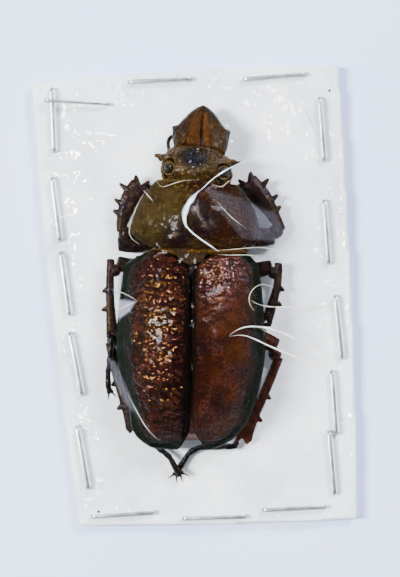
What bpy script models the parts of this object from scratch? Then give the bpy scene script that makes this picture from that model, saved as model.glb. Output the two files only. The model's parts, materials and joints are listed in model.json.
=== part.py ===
"""Dried stag beetle, seen from above, under clear film stapled to a white card, at life size.

Lengths are in millimetres and are turned into metres where a mesh is made. +X is to the right,
+Y runs towards the jaws, and the card's underside lies at z = 0 with its middle at the origin.
"""
import math

import bmesh
import bpy
import numpy as np
from mathutils import Matrix, Vector, noise
from mathutils.bvhtree import BVHTree

MM = 0.001
GAP = 0.3

# Card: corners clockwise from the far left one, and how far each side bows outwards
CARD_CORNERS = ((-21.5, 28.1), (19.0, 30.35), (21.5, -29.4), (-15.1, -30.35))
CARD_BOWS = (0.45, 0.4, 0.2, 0.6)
CARD_THICKNESS = 2.0
SIDE_STEPS = 4

# Staples: wire, crown length, clinched length and the middle and direction of each crown
STAPLE_WIRE = 0.5
STAPLE_CROWN = 8.6
STAPLE_CLINCH = 2.2
STAPLE_CROSSING_RISE = 0.85
STAPLES = {
    "top_left": (-4.5, 28.3, 3),
    "top_right": (10.5, 28.8, 5),
    "corner_over": (-15.4, 25.4, -3),
    "corner_under": (-18.6, 23.1, -88),
    "left_1": (-18.2, 11.4, -83),
    "left_2": (-17.0, 1.6, -82),
    "left_3": (-15.6, -8.9, -79),
    "left_4": (-14.7, -21.2, -80),
    "bottom_left": (-9.4, -28.7, 4),
    "bottom_middle": (2.6, -29.1, 2),
    "bottom_right": (13.1, -27.9, 3),
    "right_1": (16.7, 21.9, -86),
    "right_2": (17.3, 8.4, -86),
    "right_3": (18.9, -4.1, -84),
    "right_4": (18.3, -14.0, -86),
    "right_5": (18.0, -21.9, -85),
}

# Film: cells across and along, sheet thickness, and the flat margin under the staples
FILM_CELLS = (20, 29)
FILM_SAMPLES = 6
FILM_THICKNESS = 0.3
FILM_INSET = 0.4
FILM_CLEARANCE = 0.4
FILM_PRESSED = 2.3
FILM_SWEEPS = 500

# Pronotum: place, turn, and stations of (along, half width, underside, side edge, top)
PRONOTUM_PLACE = (-0.05, 6.1)
PRONOTUM_TURN = -3.4
PRONOTUM_STATIONS = (
    (0.0, 5.7, 3.6, 7.6, 11.5),
    (0.7, 7.2, 3.1, 7.6, 12.1),
    (1.5, 8.4, 2.8, 7.5, 12.4),
    (2.1, 8.6, 2.6, 7.5, 12.6),
    (4.1, 8.0, 2.6, 7.6, 12.7),
    (6.1, 7.1, 3.1, 7.7, 12.1),
    (7.4, 6.2, 3.6, 7.7, 11.2),
    (8.3, 5.2, 4.1, 7.6, 10.4),
)

# Head: place, turn, stations as above, side spines, eyes and their sockets
HEAD_PLACE = (0.1, 14.8)
HEAD_TURN = -5.0
HEAD_STATIONS = (
    (0.0, 4.15, 4.5, 7.1, 9.8),
    (0.5, 4.5, 4.4, 7.2, 10.0),
    (1.3, 4.7, 4.3, 7.3, 10.1),
    (2.2, 4.55, 4.4, 7.3, 9.9),
    (3.0, 4.55, 4.6, 7.1, 9.4),
    (3.5, 3.7, 4.8, 6.9, 8.9),
    (4.0, 2.95, 5.0, 6.8, 8.5),
)
CANTHUS_ROOT = (3.7, 2.55, 7.2)
CANTHUS_TIP = (5.6, 3.0, 7.1)
EYE_PLACE = (3.55, 1.35, 8.65)
EYE_RADII = (0.95, 1.05, 0.9)

# Jaws: place, turn, half outline of (across, along) and the height at the root and the tip
JAWS_PLACE = (0.66, 19.12)
JAWS_TURN = -4.7
JAW_OUTLINE = (
    (0.15, 0.0), (3.1, 0.0), (3.45, 0.9), (3.7, 2.5), (3.05, 2.7), (2.35, 3.6),
    (1.55, 4.55), (0.85, 5.25), (0.2, 5.65),
)
JAW_ROOT_HEIGHTS = (5.4, 8.3)
JAW_TIP_HEIGHTS = (4.7, 6.1)

# Feelers and palps: paths of (across, along, height) from the head, and thicknesses
FEELER_SCAPE = ((3.9, 2.7, 4.75), (4.75, 1.5, 4.5), (5.1, 0.0, 4.15), (4.95, -1.2, 3.95))
FEELER_WHIP = ((4.95, -1.2, 3.95), (4.5, -1.9, 3.9), (4.05, -2.3, 3.85))
FEELER_CLUB = ((-0.1, 0.9), (-0.45, 1.05), (-0.85, 1.0))
PALP_PATH = ((3.4, 3.1, 4.95), (3.95, 4.05, 4.9), (4.1, 4.95, 4.75), (3.8, 5.6, 4.6), (3.5, 5.85, 4.55))
THIN = 0.56

# Wing cases: base and length, stations of (along, outer edge, inner edge, side edge, top)
WING_BASE = 5.4
WING_LENGTH = 25.3
WING_SHELL = 0.65
WING_SEAM = ((0.0, -0.4), (0.5, -0.5), (1.0, -0.35))
WING_STATIONS = (
    (0.0, 7.9, 3.35, 7.0, 11.1),
    (0.03, 8.5, 2.0, 6.9, 11.4),
    (0.06, 8.7, 0.7, 6.8, 11.7),
    (0.09, 8.85, 0.15, 6.8, 12.0),
    (0.2, 9.25, 0.15, 6.7, 12.8),
    (0.32, 9.5, 0.15, 6.6, 13.3),
    (0.46, 9.7, 0.15, 6.5, 13.5),
    (0.62, 9.3, 0.15, 6.4, 13.1),
    (0.75, 8.45, 0.15, 6.3, 12.2),
    (0.85, 7.45, 0.15, 6.2, 10.9),
    (0.92, 6.2, 0.2, 6.1, 9.6),
    (0.965, 4.75, 0.6, 6.1, 8.5),
    (0.988, 3.6, 1.1, 6.1, 7.7),
    (1.0, 2.7, 1.5, 6.1, 7.2),
)
WING_ROWS = (0.0, 0.03, 0.06, 0.09, 0.14, 0.19, 0.24, 0.29, 0.34, 0.39, 0.44, 0.49, 0.54, 0.59,
             0.64, 0.69, 0.74, 0.79, 0.84, 0.88, 0.92, 0.95, 0.975, 0.99, 1.0)
WING_COLUMNS = 9
WING_TURNED_UNDER = 25
WING_LIP = 2.2
WRINKLE_HEIGHT = 0.14
WRINKLE_LENGTH = 1.7

# Scutellum: half width, length and heights of the small shield between the wing cases
SHIELD_TOP = 5.3
SHIELD_HALF_WIDTH = 2.75
SHIELD_LENGTH = 1.35
SHIELD_HEIGHTS = (10.8, 11.5)

# Trunk under the wing cases: space left to them, and where the hind body starts and ends
TRUNK_CLEARANCE = 1.15
THORAX_ENDS = (5.25, -3.6)
ABDOMEN_ENDS = (-3.9, -19.3)
KEEL_FRONT = ((5.25, 3.4), (4.0, 2.7), (1.0, 2.4), (-3.6, 2.5))
KEEL_REAR = ((-3.9, 2.6), (-9.0, 2.7), (-14.0, 3.1), (-17.5, 4.1), (-19.3, 5.0))

# Leg shapes: (share of length, width, height), outer teeth as shares, reach of teeth and spurs
LEG_SHAPES = {
    "fore": {
        "femur": ((0.0, 1.3, 0.9), (0.3, 2.2, 1.6), (0.7, 2.4, 1.7), (1.0, 1.8, 1.4)),
        "tibia": ((0.0, 1.0, 1.1), (0.3, 1.6, 1.0), (0.75, 2.7, 0.95), (1.0, 2.5, 0.75)),
        "teeth": (0.32, 0.5, 0.78),
        "reach": 0.75,
        "spur": 0.8,
    },
    "mid": {
        "femur": ((0.0, 1.2, 0.9), (0.3, 1.8, 1.5), (0.7, 2.0, 1.6), (1.0, 1.7, 1.3)),
        "tibia": ((0.0, 0.85, 0.85), (0.5, 0.9, 0.85), (1.0, 1.35, 0.8)),
        "teeth": (0.42, 0.68),
        "reach": 0.65,
        "spur": 0.7,
    },
    "hind": {
        "femur": ((0.0, 1.3, 0.9), (0.3, 2.0, 1.5), (0.7, 2.2, 1.6), (1.0, 1.7, 1.3)),
        "tibia": ((0.0, 1.0, 1.0), (0.5, 1.05, 0.9), (0.85, 1.5, 0.85), (1.0, 2.2, 0.75)),
        "teeth": (0.45, 0.72),
        "reach": 0.6,
        "spur": 0.9,
    },
}

# Leg poses: hip to knee, knee to ankle and the foot, as (x, y, z) on the card
LEG_POSES = {
    "fore_left": (
        ((-4.35, 8.2, 3.1), (-6.2, 7.1, 3.5), (-9.9, 6.8, 3.9)),
        ((-9.6, 8.4, 4.0), (-9.35, 10.2, 4.0), (-8.5, 12.3, 4.0), (-7.2, 14.5, 4.0)),
        ((-6.6, 14.5, 2.8), (-5.2, 14.0, 2.8), (-3.7, 13.6, 2.8), (-2.3, 13.8, 2.8)),
    ),
    "fore_right": (
        ((4.35, 7.9, 3.1), (6.4, 7.75, 3.5), (10.35, 7.7, 3.9)),
        ((11.3, 8.6, 4.0), (10.4, 10.3, 4.0), (9.2, 12.2, 4.0), (7.0, 14.9, 4.0)),
        ((6.3, 14.6, 2.8), (5.0, 13.8, 2.8), (3.7, 13.3, 2.8), (2.4, 13.4, 2.8)),
    ),
    "mid_left": (
        ((-4.35, 1.6, 3.1), (-6.5, 3.2, 3.5), (-10.05, 4.3, 4.2)),
        ((-10.95, 4.7, 4.4), (-11.05, 1.5, 4.6), (-10.95, -1.6, 4.9), (-10.75, -4.5, 5.2)),
        ((-10.8, -5.2, 5.1), (-11.0, -7.3, 4.9), (-11.2, -9.3, 4.7), (-11.4, -11.3, 4.5),
         (-11.0, -12.6, 4.4)),
    ),
    "mid_right": (
        ((4.35, 1.4, 3.1), (6.5, 2.8, 3.5), (10.05, 3.8, 3.9)),
        ((10.95, 4.2, 4.1), (10.85, 1.8, 4.3), (10.3, -0.5, 4.6), (9.5, -2.9, 4.85)),
        ((9.3, -3.6, 4.85), (8.7, -5.4, 4.95), (8.1, -7.1, 4.85), (7.5, -8.7, 4.5)),
    ),
    "hind_left": (
        ((-4.35, -2.7, 3.1), (-6.8, -4.0, 3.4), (-10.7, -4.6, 3.4)),
        ((-11.1, -6.2, 3.4), (-10.3, -9.8, 3.4), (-9.3, -13.4, 3.4), (-7.9, -17.2, 3.4)),
        ((-7.0, -18.3, 3.4), (-4.85, -19.8, 3.7), (-3.2, -21.2, 3.85), (-2.5, -22.6, 3.8),
         (-1.8, -23.3, 3.7)),
    ),
    "hind_right": (
        ((4.35, -2.9, 3.1), (6.8, -4.7, 3.4), (10.7, -6.5, 3.4)),
        ((11.0, -8.1, 3.4), (9.7, -11.4, 3.4), (8.1, -15.0, 3.4), (6.4, -18.6, 3.4)),
        ((5.5, -19.7, 3.1), (3.0, -19.8, 3.0), (0.6, -19.9, 2.9), (-1.1, -21.0, 2.8),
         (-1.9, -22.3, 2.8), (-2.5, -23.5, 2.8)),
    ),
}
FOOT_JOINTS = 4
FOOT_LAST_SHARE = 0.34
FOOT_WAIST = 0.5
FOOT_BULGE = 0.66
CLAW_LENGTH = 1.15
CLAW_SPREAD = 32

# Finishes: colour, roughness, metallic and alpha
CARD_WHITE = ("E4E8E7", 0.85, 0.0, 1.0)
STAPLE_ZINC = ("A9A9A6", 0.35, 1.0, 1.0)
FILM_CLEAR = ("EEF2F2", 0.12, 0.0, 0.22)
WING_BROWN = ("6E3F22", 0.35, 0.2, 1.0)
SHIELD_BROWN = ("3E2A1A", 0.4, 0.1, 1.0)
PRONOTUM_OLIVE = ("7A5A2C", 0.4, 0.2, 1.0)
HEAD_DARK = ("4A3620", 0.35, 0.1, 1.0)
JAW_DARK = ("33201C", 0.35, 0.0, 1.0)
EYE_BLACK = ("120E0C", 0.12, 0.0, 1.0)
LEG_DARK = ("35281F", 0.4, 0.0, 1.0)
TRUNK_DARK = ("33281C", 0.45, 0.0, 1.0)


def clear_scene():
    """Removes the objects that a new file starts with."""
    for thing in list(bpy.data.objects):
        bpy.data.objects.remove(thing)


def linear(hex_colour):
    """Linear colour from an sRGB hex code."""
    channels = [int(hex_colour[i:i + 2], 16) / 255 for i in (0, 2, 4)]
    return [c / 12.92 if c <= 0.04045 else ((c + 0.055) / 1.055) ** 2.4 for c in channels]


def finish_material(name, finish):
    """Principled material of a part's own."""
    colour, roughness, metallic, alpha = finish
    material = bpy.data.materials.new(name)
    material.use_nodes = True
    shader = material.node_tree.nodes["Principled BSDF"]
    shader.inputs["Base Color"].default_value = (*linear(colour), 1.0)
    shader.inputs["Roughness"].default_value = roughness
    shader.inputs["Metallic"].default_value = metallic
    shader.inputs["Alpha"].default_value = alpha
    return material


def make(name, solid, finish=None, rounded=True):
    """Object from a solid given as points in millimetres and faces, with its faces turned out."""
    points, faces = solid
    mesh = bpy.data.meshes.new(name)
    mesh.from_pydata([Vector(point) * MM for point in points], [], faces)
    shape = bmesh.new()
    shape.from_mesh(mesh)
    bmesh.ops.recalc_face_normals(shape, faces=shape.faces)
    shape.to_mesh(mesh)
    shape.free()
    if rounded:
        mesh.shade_smooth()
        mesh.set_sharp_from_angle(angle=math.radians(40))
    if finish:
        mesh.materials.append(finish_material(name, finish))
    thing = bpy.data.objects.new(name, mesh)
    bpy.context.scene.collection.objects.link(thing)
    return thing


def keep_largest(mesh):
    """Leaves only the largest closed surface of a mesh."""
    shape = bmesh.new()
    shape.from_mesh(mesh)
    left = set(shape.verts)
    islands = []
    while left:
        island = set()
        edge_of_island = [left.pop()]
        while edge_of_island:
            vertex = edge_of_island.pop()
            island.add(vertex)
            for edge in vertex.link_edges:
                other = edge.other_vert(vertex)
                if other in left:
                    left.remove(other)
                    edge_of_island.append(other)
        islands.append(island)
    islands.sort(key=spread, reverse=True)
    scraps = [vertex for island in islands[1:] for vertex in island]
    bmesh.ops.delete(shape, geom=scraps, context="VERTS")
    shape.to_mesh(mesh)
    shape.free()


def spread(island):
    """Size of an island's box, corner to corner."""
    points = np.array([vertex.co for vertex in island])
    return float(np.linalg.norm(points.max(axis=0) - points.min(axis=0)))


def fuse(name, solids, finish):
    """One closed body joined from solids that overlap at their roots."""
    whole = make(name, solids[0], finish)
    pieces = bpy.data.collections.new(name + "_pieces")
    for solid in solids[1:]:
        pieces.objects.link(make(name + "_piece", solid))
    union = whole.modifiers.new("union", "BOOLEAN")
    union.operation = "UNION"
    union.operand_type = "COLLECTION"
    union.collection = pieces
    depsgraph = bpy.context.evaluated_depsgraph_get()
    whole.data = bpy.data.meshes.new_from_object(whole.evaluated_get(depsgraph))
    whole.modifiers.clear()
    for piece in list(pieces.objects):
        bpy.data.objects.remove(piece)
    bpy.data.collections.remove(pieces)
    keep_largest(whole.data)
    return whole


def cut(thing, cutters):
    """Cuts a collection of hidden cutters out of a thing."""
    for cutter in cutters.objects:
        cutter.hide_render = True
        cutter.display_type = "WIRE"
    difference = thing.modifiers.new("cut", "BOOLEAN")
    difference.operation = "DIFFERENCE"
    difference.operand_type = "COLLECTION"
    difference.collection = cutters


def place(thing, spot, turn):
    """Sets a thing's place on the card and its turn seen from above, in degrees."""
    thing.location = Vector((spot[0], spot[1], 0)) * MM
    thing.rotation_euler = (0, 0, math.radians(turn))
    return thing


def smooth(stations, places):
    """Rows of values on a smooth curve through stations, whose first value is the place.

    The slopes are held so that the curve never swings past its stations.
    """
    table = np.array(stations, dtype=float)
    at, values = table[:, 0], table[:, 1:]
    secants = np.diff(values, axis=0) / np.diff(at)[:, None]
    before, after = np.vstack((secants[:1], secants)), np.vstack((secants, secants[-1:]))
    limit = 3 * np.minimum(np.abs(before), np.abs(after)) * (before * after > 0)
    slopes = np.clip(np.gradient(values, at, axis=0), -limit, limit)
    rows = []
    for spot in places:
        k = min(max(int(np.searchsorted(at, spot)) - 1, 0), len(at) - 2)
        span = at[k + 1] - at[k]
        f = (spot - at[k]) / span
        rows.append(
            (2 * f ** 3 - 3 * f ** 2 + 1) * values[k] + (f ** 3 - 2 * f ** 2 + f) * span * slopes[k]
            + (3 * f ** 2 - 2 * f ** 3) * values[k + 1] + (f ** 3 - f ** 2) * span * slopes[k + 1]
        )
    return rows


def by_length(points):
    """Points with the share of the path's length put before each."""
    path = np.array(points, dtype=float)
    steps = np.linalg.norm(np.diff(path[:, :3], axis=0), axis=1)
    shares = np.concatenate(([0.0], np.cumsum(steps))) / steps.sum()
    return [(share, *row) for share, row in zip(shares, path)]


def loft(rings):
    """Closed solid through rings of equally many points, with flat ends."""
    sides = len(rings[0])
    points = [point for ring in rings for point in ring]
    faces = [tuple(range(sides)), tuple(range(len(points) - sides, len(points)))]
    for i in range(len(rings) - 1):
        for j in range(sides):
            a = i * sides + j
            b = i * sides + (j + 1) % sides
            faces.append((a, b, b + sides, a + sides))
    return points, faces


def shell(outer, inner):
    """Closed solid between two grids of points, both split into triangles alike."""
    rows, columns = len(outer), len(outer[0])
    points = [point for grid in (outer, inner) for row in grid for point in row]
    far = rows * columns
    faces = []
    for i in range(rows - 1):
        for j in range(columns - 1):
            a, b = i * columns + j, i * columns + j + 1
            c, d = a + columns, b + columns
            for corner in ((a, b, c), (b, d, c)):
                faces.append(corner)
                faces.append(tuple(far + k for k in reversed(corner)))
    rim = [j for j in range(columns)]
    rim += [i * columns + columns - 1 for i in range(1, rows)]
    rim += [(rows - 1) * columns + j for j in range(columns - 2, -1, -1)]
    rim += [i * columns for i in range(rows - 2, 0, -1)]
    for k, here in enumerate(rim):
        after = rim[(k + 1) % len(rim)]
        faces.append((here, after, far + after, far + here))
    return points, faces


def prism(outline, low, high):
    """Upright solid over an outline of (x, y) points."""
    return loft([[(x, y, low) for x, y in outline], [(x, y, high) for x, y in outline]])


def body_rings(stations, count, sides, keel):
    """Rings across a body that lies along y, from (along, half width, underside, edge, top)."""
    first, last = stations[0][0], stations[-1][0]
    rings = []
    for y in np.linspace(first, last, count):
        half, low, edge, high = smooth(stations, [y])[0]
        ring = []
        for k in range(sides):
            angle = 2 * math.pi * k / sides
            rise = math.sin(angle)
            lift = (high - edge) * rise if rise > 0 else -(edge - low) * abs(rise) ** keel
            ring.append((half * math.cos(angle), y, edge + lift))
        rings.append(ring)
    return rings


def limb(path, shape, count, sides):
    """Closed tube of oval rings along a path, from a shape of (share, width, height)."""
    shares = np.linspace(0, 1, count)
    spots = [Vector(row) for row in smooth(by_length(path), shares)]
    sizes = smooth(shape, shares)
    rings = []
    for k, spot in enumerate(spots):
        ahead = (spots[min(k + 1, count - 1)] - spots[max(k - 1, 0)]).normalized()
        across = ahead.cross(Vector((0, 0, 1))).normalized()
        up = across.cross(ahead)
        width, height = sizes[k]
        rings.append([
            spot + across * math.cos(a) * width / 2 + up * math.sin(a) * height / 2
            for a in (2 * math.pi * (j + 0.5) / sides for j in range(sides))
        ])
    return loft(rings)


def spine(root, tip, width):
    """Five-sided cone from a root sunk in its body to a blunt tip."""
    root, tip = Vector(root), Vector(tip)
    ahead = (tip - root).normalized()
    across = ahead.cross(Vector((0, 0, 1))).normalized()
    up = across.cross(ahead)
    rings = []
    for centre, radius in ((root, width / 2), (root.lerp(tip, 0.55), width / 3), (tip, 0.09)):
        rings.append([
            centre + across * math.cos(a) * radius + up * math.sin(a) * radius
            for a in (2 * math.pi * j / 5 for j in range(5))
        ])
    return loft(rings)


def ball(centre, radii, grow=0.0):
    """Oval ball of rings between two small flats."""
    rings = []
    for i in range(1, 8):
        slope = math.pi * i / 8
        rings.append([
            (centre[0] + (radii[0] + grow) * math.sin(slope) * math.cos(turn),
             centre[1] + (radii[1] + grow) * math.sin(slope) * math.sin(turn),
             centre[2] - (radii[2] + grow) * math.cos(slope))
            for turn in (2 * math.pi * j / 12 for j in range(12))
        ])
    return loft(rings)


def card_point(u, v, inset):
    """Place on the card at shares u to the right and v towards the far side, inside an inset."""
    far_left, far_right, near_right, near_left = (Vector(corner) for corner in CARD_CORNERS)
    top, right, bottom, left = (bow - inset for bow in CARD_BOWS)
    spot = near_left.lerp(near_right, u).lerp(far_left.lerp(far_right, u), v)
    across = Vector((1, 0)) * (right * u * bulge(v) - left * (1 - u) * bulge(v))
    along = Vector((0, 1)) * (top * v * bulge(u) - bottom * (1 - v) * bulge(u))
    inwards = Vector(((1 - bulge(v)) * (1 - 2 * u), (1 - bulge(u)) * (1 - 2 * v)))
    return spot + across + along + inwards * inset


def bulge(share):
    """Bow along a side: nothing at its ends, one in its middle."""
    return 4 * share * (1 - share)


def card_outline():
    """Outline of the card with its four bowed sides."""
    steps = [k / SIDE_STEPS for k in range(SIDE_STEPS)]
    sides = [card_point(s, 1, 0) for s in steps] + [card_point(1, 1 - s, 0) for s in steps]
    sides += [card_point(1 - s, 0, 0) for s in steps] + [card_point(0, s, 0) for s in steps]
    return [tuple(point) for point in sides]


def staple_levels(name):
    """Crown height at the left and right leg, and whether the legs are clinched."""
    low = CARD_THICKNESS + GAP + FILM_THICKNESS + GAP
    if name == "corner_over":
        return low + STAPLE_CROSSING_RISE, low, False
    return low, low, True


def staple_solid(name):
    """Flat wire bent into a crown and two legs, clinched under the card where they reach."""
    left, right, clinched = staple_levels(name)
    half, wire = STAPLE_CROWN / 2, STAPLE_WIRE
    crown = [(-half, left + wire), (half, right + wire)]
    inside = [(half - wire, right), (-half + wire, left)]
    if clinched:
        low = 0.05
        reach = half - STAPLE_CLINCH
        foot = [(half, low), (reach, low), (reach, low + wire), (half - wire, low + wire)]
    else:
        low = 2 * GAP
        foot = [(half, low), (half - wire, low)]
    other_foot = [(-x, z) for x, z in reversed(foot)]
    outline = crown + foot + inside + other_foot
    return loft([[(x, y, z) for x, z in outline] for y in (-wire / 2, wire / 2)])


def staple_slots(name):
    """Two cutters, one for each leg, with room for its clinched end."""
    clinched = staple_levels(name)[2]
    half, side = STAPLE_CROWN / 2, STAPLE_WIRE / 2 + GAP
    outer, inner = half + GAP, half - STAPLE_WIRE - GAP
    reach = half - STAPLE_CLINCH - GAP
    roof = 0.05 + STAPLE_WIRE + GAP
    top = CARD_THICKNESS + 2 * GAP + FILM_THICKNESS + 0.1
    if clinched:
        outline = [(outer, top), (outer, -1), (reach, -1), (reach, roof), (inner, roof), (inner, top)]
    else:
        outline = [(outer, top), (outer, GAP), (inner, GAP), (inner, top)]
    return [
        loft([[(sign * x, y, z) for x, z in outline] for y in (-side, side)]) for sign in (-1, 1)
    ]


def build_card():
    """White card with the staples' legs let into it."""
    return make("card", prism(card_outline(), 0, CARD_THICKNESS), CARD_WHITE, rounded=False)


def build_staples(slots):
    """Sixteen staples, and the cutters for their legs."""
    for name, (x, y, turn) in STAPLES.items():
        staple = make("staple_" + name, staple_solid(name), STAPLE_ZINC, rounded=False)
        place(staple, (x, y), turn)
        for solid in staple_slots(name):
            cutter = place(make("slot_" + name, solid), (x, y), turn)
            slots.objects.link(cutter)


def build_pronotum():
    """Broad shield behind the head, with its underside."""
    rings = body_rings(PRONOTUM_STATIONS, 11, 24, 3)
    return place(make("pronotum", loft(rings), PRONOTUM_OLIVE), PRONOTUM_PLACE, PRONOTUM_TURN)


def build_head():
    """Head with a spine before each eye, and the two eyes in their sockets."""
    solids = [loft(body_rings(HEAD_STATIONS, 10, 18, 2))]
    sockets = bpy.data.collections.new("eye_sockets")
    parts = []
    for side, sign in (("left", -1), ("right", 1)):
        mirrored = [
            (sign * x, y, z) for x, y, z in (CANTHUS_ROOT, CANTHUS_TIP, EYE_PLACE)
        ]
        solids.append(spine(mirrored[0], mirrored[1], 1.5))
        eye = make("eye_" + side, ball(mirrored[2], EYE_RADII), EYE_BLACK)
        socket = make("socket_" + side, ball(mirrored[2], EYE_RADII, GAP))
        sockets.objects.link(socket)
        parts += [place(eye, HEAD_PLACE, HEAD_TURN)]
        place(socket, HEAD_PLACE, HEAD_TURN)
    head = place(fuse("head", solids, HEAD_DARK), HEAD_PLACE, HEAD_TURN)
    cut(head, sockets)
    return [head] + parts


def build_jaws():
    """Short closed jaws: each a plate with a shoulder tooth, rounded above and below."""
    parts = []
    middle = Vector(np.mean(JAW_OUTLINE, axis=0))
    length = JAW_OUTLINE[-1][1]
    for side, sign in (("left", -1), ("right", 1)):
        rings = []
        for share, shrink in ((0.0, 0.8), (0.35, 1.0), (0.65, 1.0), (1.0, 0.72)):
            ring = []
            for corner in JAW_OUTLINE:
                x, y = middle.lerp(Vector(corner), shrink)
                low, high = (
                    root + (tip - root) * y / length
                    for root, tip in zip(JAW_ROOT_HEIGHTS, JAW_TIP_HEIGHTS)
                )
                ring.append((sign * x, y, low + (high - low) * share))
            rings.append(ring)
        jaw = make("mandible_" + side, loft(rings), JAW_DARK, rounded=False)
        parts.append(place(jaw, JAWS_PLACE, JAWS_TURN))
    return parts


def build_feelers():
    """Elbowed feelers with a comb-like club, and the palps beside the jaws."""
    parts = []
    for side, sign in (("left", -1), ("right", 1)):
        scape, whip, palp = (
            [(sign * x, y, z) for x, y, z in path] for path in (FEELER_SCAPE, FEELER_WHIP, PALP_PATH)
        )
        even = ((0.0, THIN, THIN), (0.5, THIN * 1.1, THIN), (1.0, THIN, THIN))
        solids = [limb(scape, even, 6, 6), limb(whip, even, 4, 6)]
        end = Vector(whip[-1])
        for dx, reach in FEELER_CLUB:
            root = end + Vector((-sign * dx * 0.6, dx, 0))
            tip = root + Vector((-sign * 0.75, 0.25, 0)) * reach
            solids.append(limb([root - (tip - root) * 0.1, tip], even, 3, 6))
        solids.append(limb([end + Vector((-sign * 0.1, 0.1, 0)), end + Vector((sign * 0.4, -0.75, 0))],
                           even, 3, 6))
        feeler = fuse("antenna_" + side, solids, LEG_DARK)
        club = ((0.0, THIN, THIN), (0.6, THIN, THIN), (0.85, THIN * 1.2, THIN), (1.0, 0.4, 0.4))
        palp_thing = make("palp_" + side, limb(palp, club, 9, 6), LEG_DARK)
        parts += [place(feeler, HEAD_PLACE, HEAD_TURN), place(palp_thing, HEAD_PLACE, HEAD_TURN)]
    return parts


def wing_arch(share, thickness):
    """Outer edge, inner edge, side edge and rise of the wing case at a share of its length."""
    outer, inner, edge, top = smooth(WING_STATIONS, [share])[0]
    return outer - thickness, inner, edge, top - edge - thickness


def wing_point(sign, share, turn, thickness):
    """Point of a wing case's surface at an angle from its side edge up to the seam."""
    outer, inner, edge, rise = wing_arch(share, thickness)
    seam = smooth(WING_SEAM, [share])[0][0]
    inner_angle = math.acos(min(inner / outer, 1.0))
    low_angle = -math.radians(WING_TURNED_UNDER)
    angle = inner_angle + (low_angle - inner_angle) * turn
    lift = math.sin(angle) * (rise if angle > 0 else WING_LIP)
    across = outer * math.cos(angle)
    return Vector((seam + sign * across, WING_BASE - WING_LENGTH * share, edge + lift))


def build_wing_cases():
    """Two domed wing cases, wrinkled above, with rounded ends that part slightly."""
    parts = []
    for side, sign in (("left", -1), ("right", 1)):
        grids = []
        for thickness in (0.0, WING_SHELL):
            grid = []
            for share in WING_ROWS:
                row = []
                for k in range(WING_COLUMNS + 1):
                    point = wing_point(sign, share, k / WING_COLUMNS, thickness)
                    if thickness == 0.0:
                        wave = noise.noise(point / WRINKLE_LENGTH)
                        point.z += WRINKLE_HEIGHT * wave * math.sin(math.pi * min(share * 4, 0.5))
                    row.append(point)
                grid.append(row)
            grids.append(grid)
        parts.append(make("elytron_" + side, shell(*grids), WING_BROWN))
    return parts


def build_shield():
    """Small broad shield between the roots of the wing cases."""
    half, low, high = SHIELD_HALF_WIDTH, *SHIELD_HEIGHTS
    seam = WING_SEAM[0][1]
    outline = [
        (seam - half, SHIELD_TOP), (seam - half * 0.45, SHIELD_TOP - SHIELD_LENGTH * 0.7),
        (seam, SHIELD_TOP - SHIELD_LENGTH), (seam + half * 0.45, SHIELD_TOP - SHIELD_LENGTH * 0.7),
        (seam + half, SHIELD_TOP),
    ]
    return make("scutellum", prism(outline, low, high), SHIELD_BROWN, rounded=False)


def trunk_stations(ends, keel_line, count):
    """Stations of the trunk inside the wing cases, between two places along the body."""
    keel_line = sorted(keel_line)
    stations = []
    for y in np.linspace(ends[1], ends[0], count):
        share = (WING_BASE - y) / WING_LENGTH
        outer, _, edge, rise = wing_arch(max(share, 0.02), TRUNK_CLEARANCE)
        keel = smooth(keel_line, [y])[0][0]
        stations.append((y, outer, keel, edge, edge + rise))
    return stations


def build_trunk():
    """Hind thorax that carries the wing cases, and the hind body behind it."""
    parts = []
    seam = WING_SEAM[1][1]
    for name, ends, keel_line, count in (
        ("thorax", THORAX_ENDS, KEEL_FRONT, 7), ("abdomen", ABDOMEN_ENDS, KEEL_REAR, 11)
    ):
        rings = body_rings(trunk_stations(ends, keel_line, count), count, 22, 3)
        parts.append(place(make(name, loft(rings), TRUNK_DARK), (seam, 0), 0))
    return parts


def tibia_solids(path, shape, outward):
    """Shin with teeth along its outer edge and spurs at its end."""
    solids = [limb(path, shape["tibia"], 7, 8)]
    stations = by_length(path)
    for k, share in enumerate((*shape["teeth"], 0.97)):
        spot, ahead = path_frame(stations, share)
        side = ahead.cross(Vector((0, 0, 1))) * outward
        width = smooth(shape["tibia"], [share])[0][0]
        reach = width / 2 + shape["reach"] * (0.8 + 0.2 * k)
        lean = 0.35 if share < 0.9 else 1.3
        root = spot + side * width * 0.12
        tip = spot + side * reach + ahead * shape["reach"] * lean
        if share > 0.9:
            tip -= side * reach * 0.55
        solids.append(spine(root, tip, 0.85))
    spot, ahead = path_frame(stations, 0.97)
    side = ahead.cross(Vector((0, 0, 1))) * -outward
    width = shape["tibia"][-1][1]
    root = spot + side * width * 0.22
    solids.append(spine(root, root + side * 0.25 + ahead * (0.4 + shape["spur"]), 0.66))
    return solids


def path_frame(stations, share):
    """Place and direction of a path at a share of its length."""
    before, spot, after = (
        Vector(row) for row in smooth(stations, (max(share - 0.03, 0), share, min(share + 0.03, 1)))
    )
    return spot, (after - before).normalized()


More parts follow.
